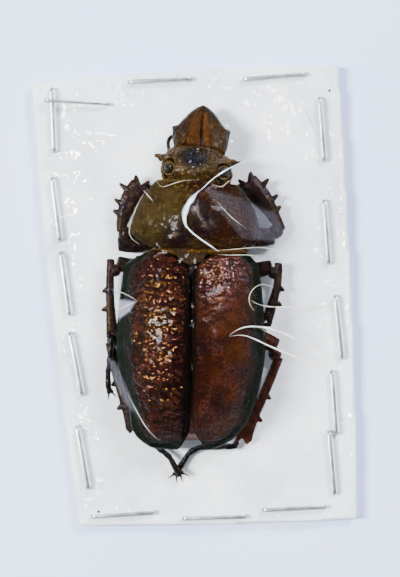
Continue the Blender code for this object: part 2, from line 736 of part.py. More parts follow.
def foot_solids(path):
    """Foot of four short joints and a long last one, with two curved claws."""
    share_each = (1 - FOOT_LAST_SHARE) / FOOT_JOINTS
    shape = []
    for k in range(FOOT_JOINTS):
        shape.append((k * share_each, FOOT_WAIST, FOOT_WAIST))
        shape.append(((k + 0.7) * share_each, FOOT_BULGE, FOOT_WAIST))
    last = FOOT_JOINTS * share_each
    shape += [(last, FOOT_WAIST, FOOT_WAIST), (0.9, FOOT_BULGE, FOOT_WAIST), (1.0, FOOT_WAIST, 0.4)]
    rings = [row[0] for row in shape]
    spots = [tuple(row) for row in smooth(by_length(path), rings)]
    solids = [tube(spots, shape)]
    end, ahead = Vector(spots[-1]), (Vector(spots[-1]) - Vector(spots[-2])).normalized()
    for turn in (-CLAW_SPREAD, CLAW_SPREAD):
        aim = Matrix.Rotation(math.radians(turn), 3, "Z") @ ahead
        root = end - ahead * 0.28 + (aim - ahead) * 0.22
        solids.append(spine(root, end + aim * CLAW_LENGTH, 0.44))
    return solids


def tube(spots, shape):
    """Six-sided tube with one ring at each spot, from a shape of (share, width, height)."""
    points = [Vector(spot) for spot in spots]
    rings = []
    for k, spot in enumerate(points):
        ahead = (points[min(k + 1, len(points) - 1)] - points[max(k - 1, 0)]).normalized()
        across = ahead.cross(Vector((0, 0, 1))).normalized()
        up = across.cross(ahead)
        _, width, height = shape[k]
        rings.append([
            spot + across * math.cos(a) * width / 2 + up * math.sin(a) * height / 2
            for a in (2 * math.pi * j / 6 for j in range(6))
        ])
    return loft(rings)


def build_legs():
    """Six legs, each a femur, a toothed tibia and a jointed foot."""
    parts = []
    for name, (thigh, shin, foot) in LEG_POSES.items():
        pair, side = name.split("_")
        shape = LEG_SHAPES[pair]
        outward = -1 if side == "left" else 1
        if pair != "fore":
            outward = -outward
        parts.append(make("femur_" + name, limb(thigh, shape["femur"], 7, 8), LEG_DARK))
        parts.append(fuse("tibia_" + name, tibia_solids(shin, shape, outward), LEG_DARK))
        parts.append(fuse("tarsus_" + name, foot_solids(foot), LEG_DARK))
    return parts


def highest_point(things):
    """Function that gives the height of the things' top above a place on the card."""
    bpy.context.view_layer.update()
    depsgraph = bpy.context.evaluated_depsgraph_get()
    points, faces = [], []
    for thing in things:
        evaluated = thing.evaluated_get(depsgraph)
        mesh = evaluated.to_mesh()
        first = len(points)
        points += [evaluated.matrix_world @ vertex.co / MM for vertex in mesh.vertices]
        faces += [[first + k for k in face.vertices] for face in mesh.polygons]
        evaluated.to_mesh_clear()
    tree = BVHTree.FromPolygons(points, faces)

    def height(spot):
        hit = tree.ray_cast(Vector((spot[0], spot[1], 50)), Vector((0, 0, -1)))[0]
        return hit.z if hit else 0.0

    return height


def near_staple(spot):
    """Whether a place on the card is pressed flat by a staple's crown."""
    for x, y, turn in STAPLES.values():
        away = Matrix.Rotation(math.radians(-turn), 2) @ (Vector(spot) - Vector((x, y)))
        beyond = max(abs(away.x) - STAPLE_CROWN / 2, 0)
        if math.hypot(beyond, away.y) < FILM_PRESSED:
            return True
    return False


def film_corners(u, v):
    """Nodes of the film's triangle at shares u and v, and the weight of each."""
    across, along = FILM_CELLS
    i, j = min(int(u * across), across - 1), min(int(v * along), along - 1)
    a, b = u * across - i, v * along - j
    if a + b <= 1:
        return ((j, i), (j, i + 1), (j + 1, i)), (1 - a - b, a, b)
    return ((j + 1, i + 1), (j + 1, i), (j, i + 1)), (a + b - 1, 1 - a, 1 - b)


def film_heights(height):
    """Heights of the film's nodes: taut over the beetle, flat under the staples and at the edge."""
    across, along = FILM_CELLS
    flat = CARD_THICKNESS + GAP
    nodes, weights, floor = [], [], []
    for q in range(along * FILM_SAMPLES + 1):
        for p in range(across * FILM_SAMPLES + 1):
            u, v = p / (across * FILM_SAMPLES), q / (along * FILM_SAMPLES)
            top = height(card_point(u, v, FILM_INSET))
            if top > 0:
                corners, shares = film_corners(u, v)
                nodes.append([j * (across + 1) + i for j, i in corners])
                weights.append(shares)
                floor.append(top + FILM_CLEARANCE)
    nodes, weights, floor = np.array(nodes), np.array(weights), np.array(floor)
    free = np.zeros((along + 1, across + 1), dtype=bool)
    for j in range(1, along):
        for i in range(1, across):
            free[j, i] = not near_staple(card_point(i / across, j / along, FILM_INSET))
    level = np.full((along + 1, across + 1), flat)
    pull = weights / (weights ** 2).sum(axis=1, keepdims=True)
    for _ in range(FILM_SWEEPS):
        mean = (level[:-2, 1:-1] + level[2:, 1:-1] + level[1:-1, :-2] + level[1:-1, 2:]) / 4
        level[1:-1, 1:-1] = np.where(free[1:-1, 1:-1], mean, flat)
        short = floor - (level.ravel()[nodes] * weights).sum(axis=1)
        lift = np.zeros(level.size)
        np.maximum.at(lift, nodes, np.maximum(short, 0)[:, None] * pull)
        level += lift.reshape(level.shape)
    return level


def build_film(height):
    """Clear film over the beetle, down to a flat margin on the card."""
    across, along = FILM_CELLS
    level = film_heights(height)
    grids = []
    for thickness in (FILM_THICKNESS, 0.0):
        grids.append([
            [
                (*card_point(i / across, j / along, FILM_INSET), level[j, i] + thickness)
                for i in range(across + 1)
            ]
            for j in range(along + 1)
        ])
    return make("film", shell(*grids), FILM_CLEAR)


def main():
    clear_scene()
    slots = bpy.data.collections.new("staple_slots")
    card = build_card()
    build_staples(slots)
    beetle = [build_pronotum(), build_shield()]
    beetle += build_head() + build_jaws() + build_feelers()
    beetle += build_wing_cases() + build_trunk() + build_legs()
    film = build_film(highest_point(beetle))
    cut(card, slots)
    cut(film, slots)


main()
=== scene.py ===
import json
import math
import random
from contextlib import contextmanager

import bpy
import numpy as np
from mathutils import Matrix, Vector, noise
from mathutils.bvhtree import BVHTree

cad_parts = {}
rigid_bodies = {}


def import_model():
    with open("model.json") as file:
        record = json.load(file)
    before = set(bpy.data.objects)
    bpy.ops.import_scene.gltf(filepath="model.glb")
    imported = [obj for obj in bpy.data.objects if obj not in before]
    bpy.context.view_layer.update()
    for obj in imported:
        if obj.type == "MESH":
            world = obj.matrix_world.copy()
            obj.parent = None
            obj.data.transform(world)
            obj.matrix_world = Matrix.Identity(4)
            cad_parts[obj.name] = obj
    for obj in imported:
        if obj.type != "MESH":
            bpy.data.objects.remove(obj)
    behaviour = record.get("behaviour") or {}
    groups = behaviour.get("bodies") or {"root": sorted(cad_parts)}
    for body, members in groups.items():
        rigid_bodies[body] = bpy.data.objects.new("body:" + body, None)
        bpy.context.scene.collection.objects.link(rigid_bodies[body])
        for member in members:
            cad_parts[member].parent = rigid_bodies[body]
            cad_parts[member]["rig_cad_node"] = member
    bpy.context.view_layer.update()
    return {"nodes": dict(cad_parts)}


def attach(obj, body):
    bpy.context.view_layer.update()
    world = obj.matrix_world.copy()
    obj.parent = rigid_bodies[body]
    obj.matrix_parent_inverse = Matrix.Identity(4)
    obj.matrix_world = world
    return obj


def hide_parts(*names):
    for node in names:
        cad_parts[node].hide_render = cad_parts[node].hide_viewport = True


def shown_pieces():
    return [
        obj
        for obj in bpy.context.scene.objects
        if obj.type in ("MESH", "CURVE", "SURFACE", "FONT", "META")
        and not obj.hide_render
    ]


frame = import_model()
MM = 0.001


# The card: a slip of thick white board, 43 by 61 mm, cut by hand with a knife, so
# that its sides are out of square and a little bowed. Its face is uncoated and
# matt, with fine pressed fibres and a few dark specks of dirt.


def only(piece):
    """Makes a piece the only selected and the active object."""
    bpy.ops.object.select_all(action="DESELECT")
    piece.select_set(True)
    bpy.context.view_layer.objects.active = piece


@contextmanager
def editing(piece):
    """Edit Mode with all of a piece's mesh selected."""
    only(piece)
    bpy.ops.object.mode_set(mode="EDIT")
    bpy.ops.mesh.select_all(action="SELECT")
    yield
    bpy.ops.object.mode_set(mode="OBJECT")


def modify(piece, kind, **settings):
    """Adds a modifier to a piece and applies it."""
    only(piece)
    modifier = piece.modifiers.new(kind.lower(), kind)
    for name, value in settings.items():
        setattr(modifier, name, value)
    bpy.ops.object.modifier_apply(modifier=modifier.name)


def placed(name, data):
    """A new object of this name and data, in the scene."""
    made = bpy.data.objects.new(name, data)
    bpy.context.scene.collection.objects.link(made)
    return made


def cad_copy(name, node):
    """A copy of a CAD node under a new name, with its loose triangles merged."""
    piece = placed(name, frame["nodes"][node].data.copy())
    piece.data.materials.clear()
    with editing(piece):
        bpy.ops.mesh.remove_doubles(threshold=0.002 * MM)
    bpy.ops.mesh.customdata_custom_splitnormals_clear()
    return piece


def refine(piece, voxel, rounds):
    """Rebuilds a piece from even small faces and smooths the flat facets away."""
    modify(piece, "REMESH", mode="VOXEL", voxel_size=voxel * MM, use_smooth_shade=True)
    modify(piece, "SMOOTH", factor=0.5, iterations=rounds)


def roughen(piece, pattern, size, depth, level=0.5, share=None, stretch=(1, 1, 1), **settings):
    """Raises and sinks the surface by a pattern whose cells measure the size in mm.

    The share says how much of it each point takes, from nothing to one.
    """
    texture = bpy.data.textures.new(pattern.lower(), pattern)
    texture.noise_scale = size * MM
    for name, value in settings.items():
        setattr(texture, name, value)
    if share is not None:
        group = piece.vertex_groups.new(name="share")
        for index, value in enumerate(np.clip(share, 0, 1)):
            if value > 0.01:
                group.add([index], float(value), "REPLACE")
    ruler = placed("ruler", None)
    ruler.scale = stretch
    bpy.context.view_layer.update()
    modify(piece, "DISPLACE", texture=texture, strength=depth * MM, mid_level=level, texture_coords="OBJECT",
           texture_coords_object=ruler, vertex_group="" if share is None else "share")
    piece.vertex_groups.clear()
    bpy.data.objects.remove(ruler)
    bpy.data.textures.remove(texture)


def linear(colour):
    """A linear colour with full alpha from an sRGB hex value."""
    parts = [int(colour[k:k + 2], 16) / 255 for k in (0, 2, 4)]
    return tuple(c / 12.92 if c <= 0.04045 else ((c + 0.055) / 1.055) ** 2.4 for c in parts) + (1,)


def new_material(name):
    """A material with an empty node tree."""
    material = bpy.data.materials.new(name)
    material.use_nodes = True
    material.node_tree.nodes.clear()
    return material


def add(owner, kind, sockets=None, ramp=(), out=None, **settings):
    """Adds a node to a material or world and returns an output, the first if none is named.

    The sockets take plain values or other nodes' outputs, and a ramp its two tints.
    """
    tree = owner.node_tree
    made = tree.nodes.new("ShaderNode" + kind)
    for name, value in settings.items():
        setattr(made, name, value)
    for name, value in (sockets or {}).items():
        if isinstance(value, bpy.types.NodeSocket):
            tree.links.new(value, made.inputs[name])
        else:
            made.inputs[name].default_value = value
    if ramp:
        for step, (place, colour) in zip(made.color_ramp.elements, ramp):
            step.position = place
            step.color = linear(colour)
    usable = [socket for socket in made.outputs if socket.enabled]
    return made.outputs[out] if out else usable[0] if usable else None


def per_mm(size):
    """Texture scale for features of this size in mm, on coordinates in metres."""
    return 1 / (size * MM)


def mottled(name, size, detail, *tints):
    """A material with soft patches of two tints, its points' places, the patches and the tint."""
    material = new_material(name)
    place = add(material, "TexCoord", out="Object")
    patches = add(material, "TexNoise", {"Vector": place, "Scale": per_mm(size), "Detail": detail})
    return material, place, patches, add(material, "ValToRGB", {"Fac": patches}, list(zip((0.3, 0.7), tints)))


def finish_piece(piece, material, slot, *nodes):
    """Gives a piece its material and body, and hides the CAD nodes that it stands for; the slot is not used.
    """
    piece.data.materials.clear()
    piece.data.materials.append(material)
    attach(piece, "root")
    if nodes:
        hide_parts(*nodes)


CARD_FACE = 2.0
# place and radius of each speck
SPECKS = ((17.75, 27.0, 0.22), (-12.65, -28.4, 0.24), (9.2, 24.6, 0.07), (-15.2, -2.3, 0.07))

card = cad_copy("card_board", "card")
with editing(card):
    bpy.ops.mesh.convex_hull()
refine(card, 0.4, 1)
roughen(card, "CLOUDS", 0.9, 0.03)

# Uncoated wood-free board, pressed and cut: matt, with short fibres in the face
# that catch a little shade. The fibres are drawn 1 mm long, or they wouldn't show.
board = new_material("uncoated_white_board")
place = add(board, "TexCoord", out="Object")
fibres = add(board, "TexNoise",
             {"Vector": place, "Scale": per_mm(1.1), "Detail": 6, "Roughness": 0.6},
             noise_type="RIDGED_MULTIFRACTAL")
clouds = add(board, "TexNoise", {"Vector": place, "Scale": per_mm(7), "Detail": 4})
fibre_tint = add(board, "ValToRGB", {"Fac": fibres}, [(0.2, "D6DBDD"), (0.75, "FFFFFF")])
cloud_tint = add(board, "ValToRGB", {"Fac": clouds}, [(0.32, "D9E0E4"), (0.66, "FFFFFE")])
colour = add(board, "Mix", {0: 0.8, 6: cloud_tint, 7: fibre_tint},
             data_type="RGBA", blend_type="MULTIPLY")
for x, y, radius in SPECKS:
    away = add(board, "VectorMath", {0: place, 1: (x * MM, y * MM, CARD_FACE * MM)},
               operation="DISTANCE")
    inside = add(board, "MapRange",
                 {"Value": away, "From Min": radius * MM, "From Max": radius * 0.6 * MM})
    colour = add(board, "Mix", {0: inside, 6: colour, 7: linear("2B2A2C")}, data_type="RGBA")
nap = add(board, "Bump", {"Height": fibres, "Strength": 0.35, "Distance": 0.05 * MM})
face = add(board, "BsdfPrincipled",
           {"Base Color": colour, "Normal": nap, "Roughness": 0.85, "Specular IOR Level": 0.25})
add(board, "OutputMaterial", {"Surface": face})
finish_piece(card, board, "card", "card")


# The staples: sixteen small office staples of zinc-coated steel wire, pressed
# flat, driven through film and card along its four sides and clinched below.
WIRE = 0.5
WIRE_FLAT = 0.4
WIRE_SIDES = 12
CROWN = 8.6
CROWN_TOP = 2.9
CROWN_DEEP = 1.4
CROWN_ENDS = 3.9
SHOULDER = 0.42
CLINCH = 2.2
CLINCH_LEVEL = 0.3
STRAIGHT_FOOT = 0.85
ARC_STEPS = 5
LEG_STRETCH = (1.0, 2.5)
PRESSED = 0.3


def points_of(piece):
    """The piece's points as rows of x, y and z in mm."""
    spots = np.empty(len(piece.data.vertices) * 3, np.float32)
    piece.data.vertices.foreach_get("co", spots)
    return spots.reshape(-1, 3).astype(float) / MM


def place_points(piece, spots):
    """Moves the piece's points to these places in mm."""
    piece.data.vertices.foreach_set("co", (spots * MM).astype(np.float32).ravel())
    piece.data.update()


def new_curve(name):
    """An empty curve in space whose sweep is closed at its ends."""
    curve = bpy.data.curves.new(name, "CURVE")
    curve.dimensions = "3D"
    curve.use_fill_caps = True
    return curve


def swept(name, curve, merge):
    """The closed mesh that a curve sweeps, with points nearer than the merge in mm joined."""
    piece = placed(name, curve)
    only(piece)
    bpy.ops.object.convert(target="MESH")
    with editing(piece):
        bpy.ops.mesh.remove_doubles(threshold=merge * MM)
        bpy.ops.mesh.normals_make_consistent(inside=False)
    return piece


def wire_profile():
    """Closed curve round the pressed wire, a rounded rectangle."""
    curve = bpy.data.curves.new("wire_profile", "CURVE")
    spline = curve.splines.new("POLY")
    spline.points.add(WIRE_SIDES - 1)
    for k, point in enumerate(spline.points):
        turn = 2 * math.pi * (k + 0.5) / WIRE_SIDES
        across, up = math.cos(turn), math.sin(turn)
        x = math.copysign(abs(across) ** 0.5, across) * WIRE / 2
        y = math.copysign(abs(up) ** 0.5, up) * WIRE_FLAT / 2
        point.co = (x * MM, y * MM, 0, 1)
    spline.use_cyclic_u = True
    return placed("wire_profile", curve)


def half_staple(foot, clinched):
    """Centre line of a staple's right half in x and z, from the crown to the foot."""
    side = CROWN / 2 - WIRE_FLAT / 2
    bend = side - SHOULDER
    turns = [math.pi / 2 * k / ARC_STEPS for k in range(ARC_STEPS + 1)]
    line = [(0, CROWN_TOP)]
    line += [(bend + SHOULDER * math.sin(t), CROWN_TOP - SHOULDER + SHOULDER * math.cos(t)) for t in turns]
    line.append((side, (CROWN_TOP + foot) / 2))
    if not clinched:
        return line + [(side, foot)]
    line += [(bend + SHOULDER * math.cos(t), foot + SHOULDER - SHOULDER * math.sin(t)) for t in turns]
    return line + [(CROWN / 2 - CLINCH, foot)]


def staple_wire(name, profile, foot, clinched):
    """One staple along X, swept from its centre line and closed at its ends."""
    right = half_staple(foot, clinched)
    line = [(-x, z) for x, z in reversed(right[1:])] + right
    curve = new_curve(name)
    curve.twist_mode = "MINIMUM"
    curve.bevel_mode = "OBJECT"
    curve.bevel_object = profile
    spline = curve.splines.new("POLY")
    spline.points.add(len(line) - 1)
    for point, (x, z) in zip(spline.points, line):
        point.co = (x * MM, 0, z * MM, 1)
    wire = swept(name, curve, 0.001)
    bpy.ops.object.shade_smooth_by_angle(angle=math.radians(40))
    return wire


# Zinc plate on drawn steel: bright grey, brushed along the wire by the former, with
# a faint bluish cast and small dull patches.
zinc, place, patches, tint = mottled("zinc_plated_steel_wire", 1.5, 4, "8E979C", "B9BFC2")
wear = add(zinc, "MapRange", {"Value": patches, "To Min": 0.28, "To Max": 0.45})
scratches = add(zinc, "TexNoise", {"Vector": place, "Scale": per_mm(0.2), "Detail": 2})
drawn = add(zinc, "Bump", {"Height": scratches, "Strength": 0.2, "Distance": 0.02 * MM})
metal = add(zinc, "BsdfPrincipled",
            {"Base Color": tint, "Roughness": wear, "Normal": drawn, "Metallic": 1.0})
add(zinc, "OutputMaterial", {"Surface": metal})

profile = wire_profile()
models = {True: staple_wire("staple_clinched", profile, CLINCH_LEVEL, True),
          False: staple_wire("staple_straight", profile, STRAIGHT_FOOT, False)}
for node in sorted(n for n in frame["nodes"] if n.startswith("staple_")):
    # the crown of the CAD staple gives the middle, the direction and both ends' heights
    points = points_of(frame["nodes"][node])
    plan, heights = points[:, :2], points[:, 2]
    crown = plan[heights > heights.max() - CROWN_DEEP]
    spread = crown - crown.mean(0)
    along = np.linalg.eigh(spread.T @ spread)[1][:, -1]
    along = along if along[0] > 0 else -along
    reach = spread @ along
    centre = crown.mean(0) + along * (reach.min() + reach.max()) / 2
    ends = [heights[((plan - centre) @ along) * side > CROWN_ENDS].max() for side in (-1, 1)]
    staple = placed("wire_" + node, models[bool(heights.min() < CLINCH_LEVEL)].data.copy())
    spots = points_of(staple)
    x, y, z = spots.T
    share = x / CROWN + 0.5
    rise = ends[0] * (1 - share) + ends[1] * share - CROWN_TOP - WIRE_FLAT / 2 - PRESSED
    z += rise * np.clip((z - LEG_STRETCH[0]) / (LEG_STRETCH[1] - LEG_STRETCH[0]), 0, 1)
    spots[:, :2] = centre + np.outer(x, along) + np.outer(y, (-along[1], along[0]))
    place_points(staple, spots)
    finish_piece(staple, zinc, "staple", node)
for model in [*models.values(), profile]:
    bpy.data.objects.remove(model)


# The wing cases: two hard, arched shells of chitin over the hind body, joined at
# a straight seam. Their discs are coarsely wrinkled and shine copper and gold, partly
# by their gloss and partly by gold highlights painted on the crests. Their ground is
# painted darker towards the seam and the front, as shade. The seam is bordered dark,
# and the steep outer sides are smooth and dark green.

# specular level and refraction of shining and of dull skin, and where two tints meet
GLOSS = (0.25, 0.2)
BEND = (1.5, 1.05)
MOTTLE = (0.35, 0.65)
SHIMMER = (0.42, 0.58)


def paint(piece, **layers):
    """Stores numbers for the points of a piece under these names, for its material."""
    for name, values in layers.items():
        layer = piece.data.attributes.new(name, "FLOAT", "POINT")
        layer.data.foreach_set("value", np.asarray(values, np.float32))


def normals_of(piece):
    """The directions in which the piece's points face."""
    facing = np.empty(len(piece.data.vertices) * 3, np.float32)
    piece.data.vertex_normals.foreach_get("vector", facing)
    return facing.reshape(-1, 3)


def ease(values, low, high):
    """Smooth step from nothing at low to one at high."""
    share = np.clip((np.asarray(values) - low) / (high - low), 0, 1)
    return share * share * (3 - 2 * share)


def crests(piece, before):
    """How far each point was raised or sunk by the relief, from nothing to one."""
    lift = ((points_of(piece) - before) * normals_of(piece)).sum(1)
    low, high = np.percentile(lift, (4, 96))
    return np.clip((lift - low) / max(high - low, 1e-6), 0, 1)


def newest(name):
    """The primitive that was just added, with its place and turn taken into its mesh."""
    bpy.ops.object.transform_apply()
    bpy.context.object.name = name
    return bpy.context.object


def remade(name, node, voxel, rounds):
    """A smooth copy of a CAD node, rebuilt from even faces, and its points in mm."""
    piece = cad_copy(name, node)
    refine(piece, voxel, rounds)
    return piece, points_of(piece)


def textured(piece, *patterns):
    """Lays patterns of relief over a piece and paints where they raised it."""
    before = points_of(piece)
    for pattern in patterns:
        roughen(piece, *pattern)
    paint(piece, crest=crests(piece, before))


def wing_case(side):
    """One wing case with its wrinkles, seam border and smooth outer side."""
    case, spots = remade("wing_case_" + side, "elytron_" + side, 0.13, 14)
    x, y, z = spots.T
    sign = -1 if side == "left" else 1
    # the front edge tucks under the pronotum, and the tips part at the seam
    front = ease(y, 3.9, 5.4)
    y += front * (0.5 - 1.2 * ease(np.abs(x), 5.2, 8.6))
    z -= front * 0.25
    x += sign * 0.75 * ease(-y, 16.6, 19.3) * (1 - ease(x * sign, -0.5, 3.5))
    if side == "left":
        # its outer rear corner is squarer
        corner = ease(-y, 14.0, 18.0) * ease(-x, 2.5, 5.0)
        x -= corner * 0.95
        y -= corner * 0.45
    place_points(case, spots)
    upward = normals_of(case)[:, 2]
    from_seam = (x - np.interp(y, (-19.9, -10, 5.4), (-1.2, -0.6, -0.3))) * sign
    disc = ease(upward, 0.55, 0.85) * ease(from_seam, 0.4, 1.1)
    if side == "left":
        hammered = disc * (1 - 0.5 * ease(-y, 13, 18))
    else:
        hammered = disc * (0.18 + 0.82 * ease(y, -0.8, 1.6))
    roughen(case, "CLOUDS", 0.52, 0.32, 0.5, hammered, (1.7, 1, 1), noise_depth=1)
    roughen(case, "VORONOI", 0.5, 0.1, 0.35, hammered, (1.6, 1, 1))
    roughen(case, "CLOUDS", 2.4, 0.2, 0.5, disc)
    roughen(case, "CLOUDS", 0.3, 0.02)
    flank, seam = 1 - ease(upward, 0.55, 0.84), 1 - ease(from_seam, 0.3, 1.05)
    veiled = 0.35 * (1 - hammered if side == "right" else 1)
    # painted shade: a darker second ground towards the seam and the front
    shaded = (1 - ease(from_seam, 1.2, 4.2)) * 0.85 + 0.35 * ease(y, -1, 3)
    paint(case, crest=crests(case, spots) * disc, flank=flank, seam=seam, wet=hammered,
          matt=np.maximum(np.maximum(flank, seam), veiled), drift=np.clip(shaded, 0, 1))
    return case


def chitin(name, ground, gilt_and_highlight, edge, gild_and_highlight, roughness, glint, drift=None, dull=None):
    """Hardened, wrinkled beetle skin: a brown ground under a tinted metallic gloss.

    The crests of the relief take the gilt tints, partly the skin's own gold and partly
    a painted highlight on the raised wrinkles. The flank and seam attributes take the
    edge's tints, and on the pronotum the seam attribute carries painted shade in its
    hollows. The gloss drifts between the two glint tints. The drift is a second ground,
    shown by the attribute of that name: a second colour on the pronotum, and painted
    shade towards the seam and the front of the wing cases. The skin is as dull all over
    as the number says, or, without one, as dull and as wet as its attributes say.
    """
    skin = new_material(name)
    layers = ["crest", "flank", "seam"] + ["drift"] * bool(drift) + ["matt", "wet"] * (dull is None)
    seen = {key: add(skin, "Attribute", out="Fac", attribute_name=key) for key in layers}
    place = add(skin, "TexCoord", out="Object")
    patches = add(skin, "TexNoise",
                  {"Vector": place, "Scale": per_mm(2.6), "Detail": 6, "Roughness": 0.65})
    grain = add(skin, "TexNoise", {"Vector": place, "Scale": per_mm(0.28), "Detail": 4})
    colour, gold_and_highlight, shimmer = (add(skin, "ValToRGB", {"Fac": pattern}, list(zip(steps, tints)))
                             for pattern, steps, tints in ((patches, MOTTLE, ground), (grain, MOTTLE, gilt_and_highlight),
                                                           (patches, SHIMMER, glint)))
    worn = add(skin, "MapRange", {"Value": grain, "From Min": 0.4, "From Max": 0.6})
    # painted highlight: the raised crests take the gilt tints, partly the skin's own gold
    raised = add(skin, "MapRange",
                 {"Value": seen["crest"], "From Min": 0.5, "From Max": 1.0, "To Max": gild_and_highlight})
    gilded_and_highlit = add(skin, "Math", {0: raised, 1: worn}, operation="MULTIPLY")
    coats = [(gilded_and_highlit, gold_and_highlight), (seen["flank"], linear(edge[0])), (seen["seam"], linear(edge[1]))]
    # the drift ground: a second colour on the pronotum, painted shade on the wing cases
    if drift:
        second = add(skin, "ValToRGB", {"Fac": patches}, list(zip(MOTTLE, drift)))
        coats.insert(0, (seen["drift"], second))
    for share, tint in coats:
        colour = add(skin, "Mix", {0: share, 6: colour, 7: tint}, data_type="RGBA")
    polish = add(skin, "MapRange",
                 {"Value": grain, "To Min": roughness[0], "To Max": roughness[1]})
    pores = add(skin, "TexVoronoi", {"Vector": place, "Scale": per_mm(0.18)})
    relief = add(skin, "Bump", {"Height": pores, "Strength": 0.35, "Distance": 0.03 * MM})
    looks = {"Base Color": colour, "Specular Tint": shimmer, "Normal": relief, "Roughness": polish}
    for socket, (bright, faint) in (("Specular IOR Level", GLOSS), ("IOR", BEND)):
        looks[socket] = bright + (faint - bright) * (dull or 0)
        if dull is None:
            looks[socket] = add(skin, "MapRange",
                                {"Value": seen["matt"], "To Min": bright, "To Max": faint})
    if dull is None:
        smooth = add(skin, "MapRange", {"Value": seen["wet"], "To Min": 1.0, "To Max": 0.55})
        looks["Roughness"] = add(skin, "Math", {0: polish, 1: smooth}, operation="MULTIPLY")
    body = add(skin, "BsdfPrincipled", looks)
    add(skin, "OutputMaterial", {"Surface": body})
    return skin


# Copper-brown chitin, cast wrinkled: the left case glints gold where it is wrinkled,
# partly by its gloss and partly by gold highlights painted on its crests. Its last two
# tints are the painted shade towards the seam and the front.
copper = chitin("wrinkled_copper_chitin", ("060204", "150705"), ("532E10", "3F1C17"),
                ("080D06", "050403"), 0.4, (0.12, 0.26), ("FFC050", "FFA078"), ("040103", "0B0305"))
# The right case lies under looser film. Its skin is a redder, more matt copy of the
# left's, painted so for how the light falls on it there, and its last two tints are
# painted shade, as on the left.
russet = chitin("wrinkled_russet_chitin", ("100403", "281104"), ("4A2A0B", "381517"),
                ("080D06", "050403"), 0.6, (0.2, 0.4), ("FFC8C8", "FFB880"), ("090303", "190704"))
for side, skin in (("left", copper), ("right", russet)):
    finish_piece(wing_case(side), skin, "wing_case", "elytron_" + side)


# The scutellum: a small heart-shaped plate between the wing cases' roots, smooth
# at its rim and finely pitted, dark brown with a faint gold cast.
shield, spots = remade("shield_plate", "scutellum", 0.07, 6)
spots[:, 1] += ease(spots[:, 1], 4.2, 5.3) * 0.8
place_points(shield, spots)
textured(shield, ("VORONOI", 0.3, 0.05, 0.4))
umber = chitin("pitted_umber_chitin", ("0E0904", "1C1209"), ("3E2A0E", "301E0E"),
               ("080C05", "050403"), 0.6, (0.3, 0.45), ("FFD8A0", "FFE8D0"), dull=0.5)
finish_piece(shield, umber, "scutellum", "scutellum")


# The collar: the narrow, hairy ring of the mid back that shows as a golden-brown
# band between the pronotum and the wing cases.
COLLAR_AT = (0.5, 5.75, 7.2)
COLLAR_REACH = (6.5, 0.95, 4.45)

bpy.ops.mesh.primitive_uv_sphere_add(segments=64, ring_count=32, radius=MM, scale=COLLAR_REACH,
                                     location=[v * MM for v in COLLAR_AT])
collar = newest("mid_back_collar")
refine(collar, 0.11, 2)
textured(collar, ("CLOUDS", 0.3, 0.12, 0.5, None, (0.6, 2.5, 1)), ("VORONOI", 0.35, 0.08, 0.4))
tawny = chitin("fringed_tawny_chitin", ("1E1305", "3A260B"), ("6E4E18", "5A3A14"),
               ("100E06", "0A0705"), 0.7, (0.4, 0.55), ("FFD080", "FFE8B0"), dull=0.6)
finish_piece(collar, tawny, "trunk")


# The pronotum: the broad shield of the fore body, one arched shell with notched
# side margins. It is pitted all over, golden olive on the left and redder on the
# right, with three smooth, shining hollows on the disc.

# place, radius and depth of each hollow, and place, radius and strength of each shadow
HOLLOWS = ((-2.75, 8.2, 0.75, 0.2), (0.3, 11.2, 0.9, 0.3), (1.6, 9.6, 1.1, 0.35))
SHADED = ((-2.3, 7.8, 2.0, 0.9), (0.6, 11.2, 1.3, 1.0), (1.3, 9.3, 2.0, 1.0))
NOTCH = 0.8
NOTCH_DEPTH = 0.14


def farness(spots, x, y, radius):
    """Square of each point's distance from a place seen from above, in radii."""
    return (((spots[:, :2] - (x, y)) / radius) ** 2).sum(1)


shell, spots = remade("pronotum_shell", "pronotum", 0.13, 5)
facing = normals_of(shell)
x, y, z = spots.T
upward = facing[:, 2]
# the rear edge reaches back, the front edge swells up, and the side margins are notched
y -= (1 - ease(y, 5.7, 7.2)) * 0.15
brow = ease(y, 13.2, 14.6) * ease(upward, -0.3, 0.3)
y += brow * 0.4
z += brow * 0.35
rim = (1 - ease(np.abs(upward), 0.3, 0.65)) * (1 - ease(z, 6.0, 8.0)) * ease(np.abs(x), 3.5, 5.0)
spots += facing * (rim * (0.15 + NOTCH_DEPTH * np.sin(2 * np.pi * y / NOTCH)))[:, None]
pitted = np.ones(len(spots))
for *place, radius, depth in HOLLOWS:
    near = np.exp(-farness(spots, *place, radius))
    spots -= facing * (near * depth * ease(upward, 0.2, 0.6))[:, None]
    pitted *= 1 - near
place_points(shell, spots)
roughen(shell, "CLOUDS", 1.8, 0.12, 0.5, pitted)
smooth_spots = points_of(shell)
roughen(shell, "VORONOI", 0.3, 0.12, 0.35, pitted)
roughen(shell, "CLOUDS", 0.3, 0.1, 0.5, pitted, (1.6, 1, 1), noise_depth=1)
lip = ease(y, 14.55, 14.9) + (1 - ease(y, 5.75, 6.0))
# painted shade: the hollows are darkened through the seam attribute
shade = np.max([strength * np.exp(-farness(spots, *place, radius) ** 2)
                for *place, radius, strength in SHADED], axis=0)
paint(shell, crest=np.clip(crests(shell, smooth_spots) * pitted + lip, 0, 1), seam=shade,
      matt=pitted * 0.8, wet=1 - pitted, drift=ease(x + 0.3 * (y - 9), -1.5, 1.5))
# its second edge tint is the painted shade of the hollows
olive = chitin("pitted_olive_gold_chitin", ("140E05", "281E0B"), ("4C3D13", "3E3110"),
               ("0E0C06", "0A0307"), 0.75, (0.42, 0.6), ("FFE0A0", "FFF0D8"), ("090303", "210C04"))
finish_piece(shell, olive, "pronotum", "pronotum")


# The head: a broad capsule drawn out into a thorn before each eye. Its middle is
# a shining black hollow, and its sides are rough and golden brown.
HOLLOW_AT = (0.0, 17.8)
HOLLOW_REACH = (1.9, 1.5)

head, spots = remade("head_capsule", "head", 0.09, 4)
facing = normals_of(head)
x, y, z = spots.T
